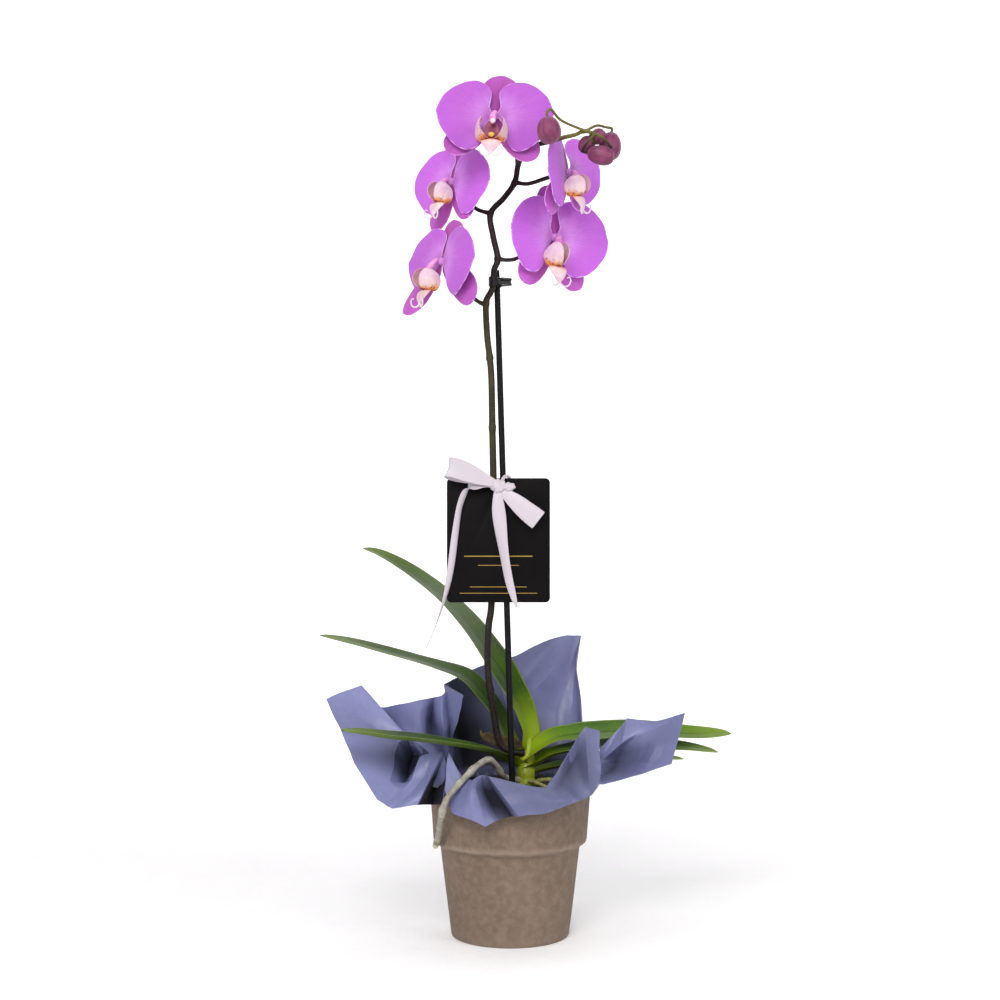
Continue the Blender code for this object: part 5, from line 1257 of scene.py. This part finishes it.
# The stalks, from the spike towards their bloom or bud
PEDICELS = (
    ("bloom_3", ((-21.4, 0.0, 557.5), (-28.0, 3.0, 560.0), (-41.0, 0.0, 570.0), (-50.5, -8.0, 581.0))),
    ("bloom_5", ((-11.0, -4.0, 597.5), (-4.0, 6.0, 597.5), (6.0, 20.0, 601.0), (20.0, 31.0, 612.0))),
    ("bloom_2", ((-17.4, -2.0, 637.4), (-30.0, 3.0, 642.5), (-39.0, 6.0, 653.0))),
    ("bloom_4", ((4.0, 2.0, 665.7), (16.0, 1.5, 664.5), (31.0, -2.0, 668.5))),
    ("bloom_1", ((7.0, -4.0, 680.0), (4.0, -12.0, 695.0), (-6.0, -30.0, 709.0), (-12.5, -45.0, 713.0))),
    ("bud_1", ((64.0, -52.0, 699.5), (43.0, -68.0, 705.0), (34.0, -80.0, 711.5))),
    ("bud_2", ((58.0, -52.0, 697.3), (62.5, -46.0, 699.8))),
    ("bud_3", ((64.0, -52.0, 699.5), (74.0, -46.0, 705.5), (83.0, -37.0, 706.0))),
    ("bud_4", ((72.0, -54.0, 697.0), (66.0, -55.0, 690.0), (61.5, -51.0, 683.0))),
    ("bud_5", ((66.5, -52.8, 699.3), (69.5, -44.0, 698.0))),
)
# Each bloom's middle, how far it turns, nods and leans in degrees, its size, how deep it is cupped, and how
# far right and up its lip sits and how wide the lip's side lobes open
BLOOMS = (
    ("bloom_1", (-13.4, -58.0, 711.0), 0.0, -14.0, 1.5, 1.0, 0.13, (-2.4, -8.0, 1.0)),
    ("bloom_2", (-52.4, -2.0, 665.6), 42.0, -8.0, 5.0, 0.92, 0.02, (-1.0, -4.0, 0.62)),
    ("bloom_3", (-60.2, -20.0, 592.2), 52.0, -8.0, 2.5, 0.96, 0.05, (-3.0, -9.0, 0.66)),
    ("bloom_4", (51.4, -12.0, 671.4), -57.0, -2.0, -9.0, 0.93, 0.17, (-7.5, -3.5, 0.62)),
    ("bloom_5", (40.4, 20.0, 619.6), -33.0, 0.0, 2.5, 1.075, 0.19, (-4.6, -6.5, 0.5)),
)
# Each bud's middle, half length, half width and the way from its foot to its tip
BUDS = (
    ("bud_1", (32.0, -84.0, 693.4), 11.4, 10.0, (0.12, -0.1, -1.0)),
    ("bud_2", (66.0, -39.5, 690.4), 7.8, 7.2, (-0.35, 0.0, -1.0)),
    ("bud_3", (86.4, -33.0, 690.5), 12.2, 9.6, (-0.1, -0.05, -1.0)),
    ("bud_4", (77.2, -51.5, 678.8), 11.6, 8.2, (1.0, -0.1, -0.25)),
    ("bud_5", (75.6, -39.0, 697.4), 7.2, 6.6, (0.5, 0.5, 0.6)),
)


def bloom_frame(place, turn, nod, lean, size):
    """Where a bloom stands. In its own frame it faces -Y, with Z up, in millimetres."""
    return (Matrix.Translation(Vector(place)) @ Matrix.Rotation(math.radians(-turn), 4, "Z")
            @ Matrix.Rotation(math.radians(nod), 4, "X") @ Matrix.Rotation(math.radians(lean), 4, "Y")
            @ Matrix.Scale(size, 4))


def make_spike():
    """The flower stem with its joints, the stalks of its blooms and buds, and three dry scales."""
    stops = {}
    for name, place, turn, nod, lean, size, _, _ in BLOOMS:
        stand = bloom_frame(place, turn, nod, lean, size)
        stops[name] = [stand @ Vector((0.0, 4.5 + d, 0.0)) for d in (9.0, 4.5, 0.4)]
    for name, middle, half_length, _, way in BUDS:
        lift = Vector(way).normalized()
        stops[name] = [Vector(middle) - lift * (half_length + d) for d in (3.5, 0.1)]
    steps = 260
    route = smooth_route(SPIKE_ROUTE, steps)
    radii = []
    for i, point in enumerate(route):
        u = i / (steps - 1)
        radius = 3.1 - 0.8 * max(0.0, u - 0.40) / 0.60 - 1.1 * max(0.0, (u - 0.84) / 0.16)
        near = min(abs(point.z - level) for level in SPIKE_NODES)
        radii.append(radius * (1.0 + 0.28 * max(0.0, 1.0 - near / 4.0) ** 1.5))
    parts = [tube_piece("spike_stem", route, radii, 16)]
    for name, points in PEDICELS:
        base, flare = (1.8, 0.25) if name.startswith("bloom") else (1.15, 0.0)
        widths = [base * (1.0 + 0.45 * max(0.0, 1 - k / 5) + flare * (k / 39) ** 3) for k in range(40)]
        parts.append(tube_piece("stalk", smooth_route(list(points) + stops[name], 40), widths))
    parts += [make_bract(level, route) for level in SPIKE_NODES[:3]]
    finish_piece(join(parts, "flower_stem"), stem_look(), "stem", "flower_spike")


def make_bract(level, route):
    """A small dry scale that clasps the stem at a joint."""
    k = min(range(20, len(route) - 60), key=lambda n: abs(route[n].z - level))
    way = (route[k + 4] - route[k - 2]).normalized()
    side = way.orthogonal().normalized()
    other = way.cross(side)
    facing = 0.6 if level > 300 else 2.6

    def place(u, v):
        turn = (u - 0.5) * math.pi * 1.5 * (1.0 - 0.8 * v) + facing
        radius = 3.15 + 0.35 * v - 0.0035 * (level - 216.0)
        rise = 8.5 * v * (1 - 0.25 * (2 * u - 1) ** 2)
        return route[k - 1] + way * rise + (side * math.cos(turn) + other * math.sin(turn)) * radius
    return thicken(grid_piece("bract", 10, 8, place), 0.35)


def make_stake():
    steps = 60
    route = [stake_point(STAKE_FOOT.z + (STAKE_TOP.z - STAKE_FOOT.z) * k / (steps - 1)) for k in range(steps)]
    rod = tube_piece("stake_rod", route, [2.7] * (steps - 1) + [2.3], 20)
    look = simple_look("stake_coat", srgb(5, 4, 6), srgb(13, 11, 14), 0.5, 0.62, 80.0, (250.0, 1500.0), 0.35,
                       0.0003, srgb(32, 30, 32), Specular_IOR_Level=0.16)
    finish_piece(rod, look, "stake", "stake")


CLIP_LEVEL = 577.0


def make_clip():
    """The pair of finger levers on the right of the clip, and the spring between them."""
    rod = stake_point(CLIP_LEVEL)
    black = simple_look("clip_plastic", srgb(14, 14, 16), srgb(24, 24, 27), 0.28, 0.42, 60.0, (300.0, 1500.0),
                        0.12, 0.0002)
    parts = []
    for side in (-1, 1):
        place = (rod.x + 8.4, rod.y - 4.6, CLIP_LEVEL + side * 2.6)
        lever = box_piece("lever", place, (0.0, side * 0.10, 0.0), (9.6, 5.0, 2.0))
        bpy.ops.object.mode_set(mode="EDIT")
        bpy.ops.mesh.bevel(offset=0.7 * MM, segments=2)
        bpy.ops.object.mode_set(mode="OBJECT")
        parts.append(settle(lever))
    deselect()
    bpy.ops.mesh.primitive_cylinder_add(vertices=20, radius=1.3 * MM, depth=6.4 * MM,
                                        location=((rod.x + 6.6) * MM, (rod.y - 4.6) * MM, CLIP_LEVEL * MM))
    parts.append(settle(named("spring")))
    trim = join(parts, "clip_levers")
    smooth_all(trim, 40)
    finish_piece(trim, black, "clip")
    finish_slots("stem_clip", black)


# Blooms and buds

PETAL_OUTLINE = (
    (2.2, -2.0), (1.8, 3.0), (4.8, 9.0), (3.4, 18.0), (3.6, 25.0), (9.4, 31.5), (20.0, 32.5), (34.0, 27.0),
    (45.0, 16.0), (50.4, 2.0), (47.5, -10.0), (39.5, -22.0), (30.5, -29.5), (19.5, -31.5), (12.5, -26.5),
    (9.5, -15.0), (6.0, -6.0),
)
# The sepals of each bloom: angle in its plane, length, how far they lean back and half width
SEPALS = {
    "bloom_1": ((82.0, 44.8, 0.30, 19.0), (215.0, 51.0, 0.16, 15.0), (316.0, 51.0, 0.16, 15.0)),
    "bloom_2": ((90.0, 45.0, 0.20, 19.0), (245.0, 51.0, 0.16, 14.5), (308.0, 43.0, 0.16, 14.0)),
    "bloom_3": ((90.0, 41.0, 0.20, 19.0), (229.0, 63.0, -0.04, 15.0), (320.0, 55.0, 0.26, 16.5)),
    "bloom_4": ((90.0, 46.0, 0.30, 14.5), (224.0, 50.0, 0.16, 14.5), (316.0, 46.0, 0.16, 14.5)),
    "bloom_5": ((90.0, 46.0, 0.30, 14.5), (236.0, 48.0, 0.16, 14.5), (309.0, 51.0, 0.16, 15.0)),
}

PETAL_THICK, LOBE_THICK = 0.75, 0.8
# How far each bloom's colour is darkened, as painted shade on the blooms that stand most in the light
PAINTED_BLOOM_SHADES = {"bloom_1": 1.0, "bloom_3": 0.55}


def slow_ends(v):
    """Closer steps at both ends of v from 0 to 1."""
    return 0.5 - 0.5 * math.cos(math.pi * (0.02 + 0.96 * v))


def tepal_piece(name, upper, lower, depth, stand, claw, length, steps=(22, 26)):
    """A petal or sepal between two edges in its own plane, from its claw to its tip."""
    across, rows = steps
    edges = upper + lower

    def flat_point(u, v):
        i = slow_ends(v) * rows
        k = min(int(i), rows - 1)
        return lower[k].lerp(lower[k + 1], i - k).lerp(upper[k].lerp(upper[k + 1], i - k), u)

    def place(u, v):
        p = flat_point(u, v)
        return stand @ Vector((p.x, depth(p.x, p.y), p.y))

    def marks(u, v):
        p = flat_point(u, v)
        return {"margin": min(1.0, min((p - q).length for q in edges) / 10.0)}

    def fan(u, v):
        p = flat_point(u, v) - claw
        return math.atan2(p.y, abs(p.x) + 0.001) / math.pi + 0.5, p.length / length

    piece = grid_piece(name, across, rows, place, marks)
    remap(piece, fan)
    merge_doubles(piece, 2e-5, normals=False)
    return thicken(piece, PETAL_THICK)


def petal_edges(side, count, tuck):
    """A petal's upper and lower edges, with its upper inner corner drawn in by tuck."""
    outline = [Vector((*p, 0.0)) for p in PETAL_OUTLINE]
    for p in outline[2:6]:
        p.x -= tuck * (1.0 - p.x / 18.0)
    lines = (smooth_route(outline[1:10], count), smooth_route(outline[:1] + outline[:8:-1], count))
    return [[Vector((p.x * side, p.y)) for p in line] for line in lines]


def petal_depth(side, cup, seed):
    """How far back a petal lies at a point of its plane: cupped, ruffled and grooved along its middle."""
    def depth(x, z):
        out = abs(x)
        reach = math.hypot(out - 24.0, z - 2.0) / 26.0
        angle = math.atan2(z - 2.0, out - 24.0)
        ruffle = 0.55 * max(0.0, reach - 0.7) * math.sin(7 * angle + seed) * 2.2
        fade = min(1.0, out / 14.0) * max(0.0, 1.0 - out / 52.0)
        groove = 0.35 * math.exp(-((z - 0.12 * out) / 3.2) ** 2) * fade
        swell = 0.6 * noise.noise(Vector((x * 0.06, z * 0.06, seed)))
        bowl = 2.6 * reach ** 2 + 0.8 * reach ** 3 * math.sin(3 * angle + side)
        return -0.8 - cup * out + bowl + ruffle + groove + swell
    return depth


def sepal_edges(length, half, count):
    """Both edges of a sepal that points right, from foot to tip."""
    lines = ([], [])
    for k in range(count):
        v = k / (count - 1)
        width = half * 2 * math.sqrt(max(0.0, v * (1 - v))) * (0.72 + 0.34 * v)
        for line, sign in zip(lines, (1, -1)):
            line.append(Vector((1.5 + (length - 1.5) * v, sign * width)))
    return lines


def sepal_depth(back, seed):
    """How far back a sepal lies at a point of its plane, with a keel along its middle."""
    def depth(x, z):
        keel = -0.5 * math.exp(-(z / 2.2) ** 2)
        swell = 0.5 * noise.noise(Vector((x * 0.07, z * 0.07, seed)))
        return 1.4 + back * x - 0.0012 * x * x + 0.009 * z * z + keel + swell
    return depth


def set_painted_shade(pieces, tone):
    for piece in pieces:
        set_values(piece, "tone", [tone] * len(piece.data.vertices))


def make_bloom(name, stand, cup, looks, lip_place, seed):
    """Two petals and three sepals grown together at a hub, with the lip in front."""
    petals, sepals = [], []
    tuck = 3.2 if name in ("bloom_2", "bloom_3") else 0.0
    for side in (1, -1):
        depth = petal_depth(side, cup, seed + side)
        petals.append(tepal_piece(name + "_petal", *petal_edges(side, 27, tuck), depth, stand,
                                  Vector((0.0, 0.0)), 52.0))
    for turn, length, back, half in SEPALS[name]:
        spin = Matrix.Rotation(math.radians(-turn), 4, "Y")
        depth = sepal_depth(back, seed + turn)
        sepals.append(tepal_piece(name + "_sepal", *sepal_edges(length, half, 25), depth, stand @ spin,
                                  Vector((-6.0, 0.0)), 60.0, (14, 24)))
    hub_route = [stand @ Vector((0.0, y, 0.0)) for y in (-3.9, -2.4, 0.0, 2.4, 4.5)]
    sepals.append(tube_piece(name + "_hub", hub_route, (2.6, 3.2, 3.6, 3.2, 2.0), 16))
    # Painted shade for the blooms that stand most in the light
    set_painted_shade(petals + sepals, PAINTED_BLOOM_SHADES.get(name, 0.0))
    finish_piece(join(petals, name + "_petals"), looks["petal"], "petal", name)
    finish_piece(join(sepals, name + "_sepals"), looks["sepal"], "petal", name)
    make_lip(name, stand, lip_place, looks)


def lobe_piece(name, stand, points, across, halves, bend, steps=(12, 20)):
    """A lobe of the lip: a strip along its middle line, hollowed across."""
    width, length = steps
    route = smooth_route(points, length + 1)
    ways = tangents(route)

    def place(u, v):
        i = round(v * length)
        s = 2 * u - 1
        side, up = across_way(Vector(across), ways[i])
        half = along(halves, i / length) * (1.0 if 0 < i < length else 0.6)
        ruffle = 0.25 * math.sin(9 * v + 3 * s) * abs(s) ** 2
        return stand @ (route[i] + side * (half * s) + up * (bend * half * (s * s) + ruffle))

    def marks(u, v):
        edge = min(along(halves, v) * (1 - abs(2 * u - 1)), (1 - v) * 12.0)
        return {"margin": min(1.0, edge / 10.0)}
    return thicken(grid_piece(name, width, length, place, marks), LOBE_THICK)


MID_LOBE = ((0, -8.2, -15.5), (0, -10.6, -18.6), (0, -14.0, -21.0), (0, -16.0, -26.5), (0, -15.2, -33.5))
MID_WIDTHS = (3.2, 5.0, 8.4, 9.0, 8.6, 7.8, 6.6, 5.2, 3.4, 1.2)
SIDE_WIDTHS = (3.2, 5.4, 7.6, 8.6, 9.0, 9.0, 8.2, 6.2, 2.6)
TENDRIL = (
    (0.4, -15.0, -32.0), (1.6, -15.4, -34.6), (4.4, -16.4, -36.2), (7.8, -17.6, -35.2), (9.2, -18.6, -31.6),
    (7.6, -19.0, -28.8), (5.2, -18.8, -29.4),
)
THROAT = ((0, -5.4, -0.5), (0, -6.2, -6.0), (0, -7.4, -12.5), (0, -8.8, -17.6))
COLUMN = ((0, -9.0, -1.0), (0, -10.6, -3.2), (0, -11.4, -6.4), (0, -11.2, -8.2))


def side_lobe(side, stand, opening):
    """One of the two lobes beside the throat, broader the more the lip is closed."""
    out, broad = side * opening, 1.6 - 0.6 * opening
    points = ((out * 2.6, -8.8, -18.6), (out * 7.8, -10.0, -18.8), (out * 11.8, -10.2 - 1.4 * broad, -14.6),
              (out * 12.9, -9.6 - 3.2 * broad, -9.0), (out * 11.4, -10.0 - 3.4 * broad, -3.6),
              (out * 8.4, -10.2 - 3.2 * broad, 0.2))
    halves = [width * broad for width in SIDE_WIDTHS]
    return lobe_piece("side_lobe", stand, points, (side * -0.18, -0.95, 0.1), halves, side * 0.16, (16, 26))


def make_lip(name, stand, lip_place, looks):
    """The lip's three lobes and two tendrils, the throat, the column with its cap, and the callus."""
    right, up, opening = lip_place
    foot = [stand @ Vector((0.0, y, 0.0)) for y in (-4.1, -6.2)]
    high = stand @ Matrix.Translation((right * 0.6, 0.0, up * 0.45))
    stand = stand @ Matrix.Translation((right, 0.0, up))
    lobes = [lobe_piece("mid_lobe", stand, MID_LOBE, (1, 0, 0), MID_WIDTHS, 0.20)]
    curls = []
    for side in (1, -1):
        lobes.append(side_lobe(side, stand, opening))
        line = smooth_route([stand @ Vector((side * x, y, z)) for x, y, z in TENDRIL], 34)
        curls.append(tube_piece("tendril", line, [0.95 - 0.45 * k / 33 for k in range(34)], 10))
    # The lip's lobes take 0.45 of the bloom's painted shade
    set_painted_shade(lobes + curls, 0.45 * PAINTED_BLOOM_SHADES.get(name, 0.0))
    throat = lobe_piece(name + "_throat", stand, THROAT, (1, 0, 0), (3.6, 5.6, 6.6, 6.2, 4.6), -0.12)
    line = smooth_route(foot + [high @ Vector(p) for p in COLUMN], 24)
    radii = [along((2.0, 2.2, 2.7, 3.0, 2.8, 1.6), k / 23) for k in range(24)]
    body = tube_piece(name + "_column", line, radii, 20)

    def cap_form(p):
        beak = max(0.0, -p.z) ** 2
        return high @ Vector((p.x * (2.6 - 0.9 * beak), -11.9 + p.y * 2.3 - 0.6 * beak, -6.8 + p.z * 2.7))

    def callus_form(p):
        split = 0.5 * math.exp(-(p.x / 0.25) ** 2) if p.y < 0 else 0.0
        return stand @ Vector((p.x * 2.9, -11.2 + p.y * (2.2 - split), -14.6 + p.z * 2.2))

    cap = ball_piece(name + "_anther", 24, 14, cap_form)
    callus = ball_piece(name + "_callus", 24, 14, callus_form)
    node = name + "_lip"
    finish_piece(join(lobes, name + "_lip_lobes"), looks["lip"], "lip", node)
    finish_piece(join(curls, name + "_tendrils"), looks["tendril"], "lip", node)
    finish_piece(throat, looks["throat"], "lip", node)
    finish_piece(body, looks["column"], "petal", node)
    finish_piece(cap, looks["anther"], "lip", node)
    finish_piece(callus, looks["callus"], "lip", node)


def make_bud(name, middle, half_length, half_width, way, look):
    """A closed bud: three outer leaves that meet in seams, with a blunt tip."""
    lift = Vector(way).normalized()
    across = lift.orthogonal().normalized()
    other = lift.cross(across)

    def form(u, v):
        turn = 2 * math.pi * u
        seam = (1.0 - abs(math.sin(1.5 * turn))) ** 3
        radius = half_width * max(0.0, math.sin(math.pi * v)) ** 0.8 * (0.92 + 0.2 * v) * (1.0 - 0.075 * seam)
        rise = -math.cos(math.pi * v) * half_length
        return Vector(middle) + lift * rise + (across * math.cos(turn) + other * math.sin(turn)) * radius

    def marks(u, v):
        return {"seam": (1.0 - abs(math.sin(3 * math.pi * u))) ** 6}
    bud = grid_piece(name + "_skin", 60, 36, form, marks)
    merge_doubles(bud, 2e-5)
    smooth_all(bud)
    finish_piece(bud, look, "bud", name)


def tissue(name, dark, light, rough_low, rough_high, scale, bump=0.15, tint=None):
    return simple_look(name, dark, light, rough_low, rough_high, scale, (500.0, 1800.0), bump, 0.0002, tint)


def make_flowers():
    looks = {
        "petal": petal_look("petal_tissue", srgb(216, 156, 236), srgb(187, 99, 210), srgb(186, 99, 215),
                            srgb(232, 186, 244), srgb(164, 70, 190)),
        "sepal": petal_look("sepal_tissue", srgb(152, 56, 144), srgb(178, 82, 178), srgb(188, 96, 198),
                            srgb(224, 160, 230), srgb(140, 46, 138)),
        "lip": lip_look(),
        "throat": tissue("throat_tissue", srgb(128, 52, 84), srgb(172, 96, 118), 0.45, 0.6, 160.0,
                         tint=srgb(104, 36, 52)),
        "column": tissue("column_tissue", srgb(204, 118, 186), srgb(226, 160, 208), 0.4, 0.55, 200.0),
        "tendril": tissue("tendril_tissue", srgb(208, 188, 198), srgb(226, 210, 218), 0.42, 0.55, 200.0),
        "anther": tissue("anther_cap", srgb(226, 186, 206), srgb(242, 216, 226), 0.4, 0.5, 200.0),
        "callus": tissue("callus_tissue", srgb(214, 150, 56), srgb(232, 186, 92), 0.35, 0.5, 300.0, 0.25,
                         srgb(150, 52, 36)),
    }
    for k, (name, place, turn, nod, lean, size, cup, lip_place) in enumerate(BLOOMS):
        make_bloom(name, bloom_frame(place, turn, nod, lean, size), cup, looks, lip_place, 3.1 * k)
    skin = bud_look()
    for entry in BUDS:
        make_bud(*entry, skin)


# Card and ribbon. The card's rules have their height from its middle, half length and half width

CARD_SIZE = (90.6, 0.8, 109.2)
CARD_PLACE = (-10.4, -12.2, 348.6)
CARD_HOLE = (-10.0, -12.2, 395.5)
CARD_RULES = ((-14.0, 30.0, 0.45), (-22.0, 18.0, 0.28), (-41.0, 25.0, 0.28), (-46.5, 34.0, 0.28))
CORNER_RADIUS, HOLE_RADIUS, EDGE_BEVEL = 4.0, 4.0, 0.12
SATIN_THICK = 0.3


def make_card():
    """The card: a thin board with round corners, a round hole at the top and softened edges."""
    card = settle(box_piece("card_board", CARD_PLACE, (0.0, 0.0, 0.0), CARD_SIZE))
    bpy.ops.object.mode_set(mode="EDIT")
    bpy.ops.mesh.select_all(action="DESELECT")
    bpy.ops.object.mode_set(mode="OBJECT")
    for edge in card.data.edges:
        a, b = (card.data.vertices[k].co for k in edge.vertices)
        edge.select = abs(a.x - b.x) < 1e-6 and abs(a.z - b.z) < 1e-6
    bpy.context.tool_settings.mesh_select_mode = (False, True, False)
    bpy.ops.object.mode_set(mode="EDIT")
    bpy.ops.mesh.bevel(offset=CORNER_RADIUS * MM, segments=8)
    bpy.ops.object.mode_set(mode="OBJECT")
    bpy.context.tool_settings.mesh_select_mode = (True, False, False)
    deselect()
    bpy.ops.mesh.primitive_cylinder_add(vertices=40, radius=HOLE_RADIUS * MM, depth=0.01,
                                        rotation=(math.pi / 2, 0, 0), location=[c * MM for c in CARD_HOLE])
    punch = named("punch")
    hole = card.modifiers.new("hole", "BOOLEAN")
    hole.operation = "DIFFERENCE"
    hole.object = punch
    edge = card.modifiers.new("edge", "BEVEL")
    edge.width = EDGE_BEVEL * MM
    edge.segments = 2
    edge.limit_method = "ANGLE"
    apply_all(card)
    bpy.data.objects.remove(punch, do_unlink=True)
    smooth_all(card, 30)
    finish_piece(card, card_look(), "card", "gift_card")


def band_piece(name, points, ways, halves, curl, steps, wave=0.0):
    """A strip of ribbon along a route, with its width along the given ways, hollowed across by curl."""
    route = smooth_route(points, steps + 1)
    flow = tangents(route)

    def place(u, v):
        i = round(v * steps)
        s = 2 * u - 1
        reach = v * (len(ways) - 1)
        k = min(int(reach), len(ways) - 2)
        side, up = across_way(Vector(ways[k]).lerp(Vector(ways[k + 1]), reach - k), flow[i])
        half = along(halves, v)
        return route[i] + side * (half * s) + up * (curl * half * (s * s - 0.4) + wave * math.sin(9 * v) * s)
    return thicken(grid_piece(name, 10, steps, place), SATIN_THICK)


# Each band of the ribbon has its route, the ways its width points along it, its half widths, how far it is
# hollowed across, its number of rows and how much it waves
UPRIGHT, SLANTED = (0.25, 0.0, 1.0), (0.58, 0.0, 0.81)
BANDS = (
    ("bow_loop", ((-9, -18.5, 397), (-24, -22.5, 402.5), (-41, -26, 409.5), (-51, -27, 412.5),
                  (-54.6, -24.5, 412.0), (-50, -21.5, 409.5), (-38, -20, 406.0), (-22, -18.6, 400.5),
                  (-9, -17.5, 394.5)),
     (UPRIGHT, UPRIGHT),
     (2.6, 3.6, 5.0, 6.4, 7.6, 8.4, 8.7, 8.8, 8.8, 8.7, 8.4, 7.6, 6.4, 5.2, 4.2, 3.4, 2.6), 0.12, 60, 0.0),
    ("bow_end", ((-9, -18.5, 393.5), (4, -20.5, 383), (14, -21.5, 374.5), (24.8, -22, 366.1)),
     (SLANTED, SLANTED), (2.6, 4.8, 6.6, 7.8, 8.5, 9.0, 9.1), 0.16, 24, 0.0),
    ("left_tail", ((-12, -18.5, 397), (-24, -20.0, 398.5), (-36.5, -20.5, 394), (-43.5, -20, 380.0),
                   (-47.5, -19, 357), (-51.0, -17.5, 330.0), (-54.6, -16, 309.0), (-59.6, -14.5, 290.4),
                   (-67.6, -12.5, 268.0), (-74.0, -11, 254.0)),
     ((0.2, 0.3, 1.0),) * 3 + ((0.8, 0.5, 0.5),) + ((0.8, 0.6, 0.15),) * 16,
     (2.4, 3.6, 4.6, 4.6, 4.1, 3.6, 3.5, 3.5, 3.4, 3.3, 3.2, 3.1, 2.9, 2.5, 2.1, 1.6, 1.2, 0.9, 0.8, 0.6),
     0.35, 90, 0.8),
    ("right_tail", ((-11, -18.5, 394), (-10.8, -19.8, 382), (-9.4, -19.4, 366.0), (-6.0, -18.0, 340.0),
                    (-1.6, -16.5, 315.0), (2.4, -15.5, 300.0), (5.8, -14.8, 289.6)),
     ((1.0, -0.1, 0.1), (1.0, -0.3, 0.1), (0.9, -0.5, 0.2)),
     (3.0, 4.4, 5.6, 6.0, 5.8, 5.4, 5.0, 4.6, 4.3, 4.0, 3.7, 3.2, 2.4, 0.8), 0.24, 60, 0.9),
)
TIE_ROUTE = (
    (-10, -17, 395.6), (-10, -10.5, 395.6), (-16.8, -7.4, 396.4), (-20.9, -2, 397.5), (-19.5, 4.2, 398.5),
    (-13, 5.8, 399.5), (-5.5, 3.2, 401), (-0.3, -2.8, 402.8), (-1.5, -9, 404.6), (-4.5, -13.5, 404.9),
    (-8, -17.5, 400),
)
# The knot in the middle and the small gather beside it: middle, radii and number of folds
KNOTS = (((-10.0, -18.0, 396.0), (7.0, 4.4, 6.2), 5), ((-1.0, -18.6, 395.4), (5.2, 3.0, 4.0), 4))


def make_ribbon():
    """The satin bow: its loop, end, tails and knots, and the tie round spike and stake."""
    parts = [band_piece(*band) for band in BANDS]
    radii = [1.45 + 0.15 * math.sin(k * 0.7) for k in range(70)]
    parts.append(tube_piece("tie", smooth_route(TIE_ROUTE, 70), radii, 10))
    for middle, sizes, count in KNOTS:
        def form(p):
            fold = 1.0 + 0.07 * math.sin(count * 2 * p.x + 3.0 * p.z) + 0.05 * math.sin(7 * p.z - 4 * p.x)
            return Vector(middle) + Vector((p.x * sizes[0], p.y * sizes[1], p.z * sizes[2])) * fold
        parts.append(ball_piece("knot", 36, 20, form))
    ribbon = join(parts, "satin_bow")
    finish_piece(ribbon, satin_look(), "ribbon", "ribbon")


make_stage()
make_lights()
make_pots()
make_bark()
make_wrap()
make_crown()
make_leaves()
make_roots()
make_spike()
make_stake()
make_clip()
make_flowers()
make_card()
make_ribbon()
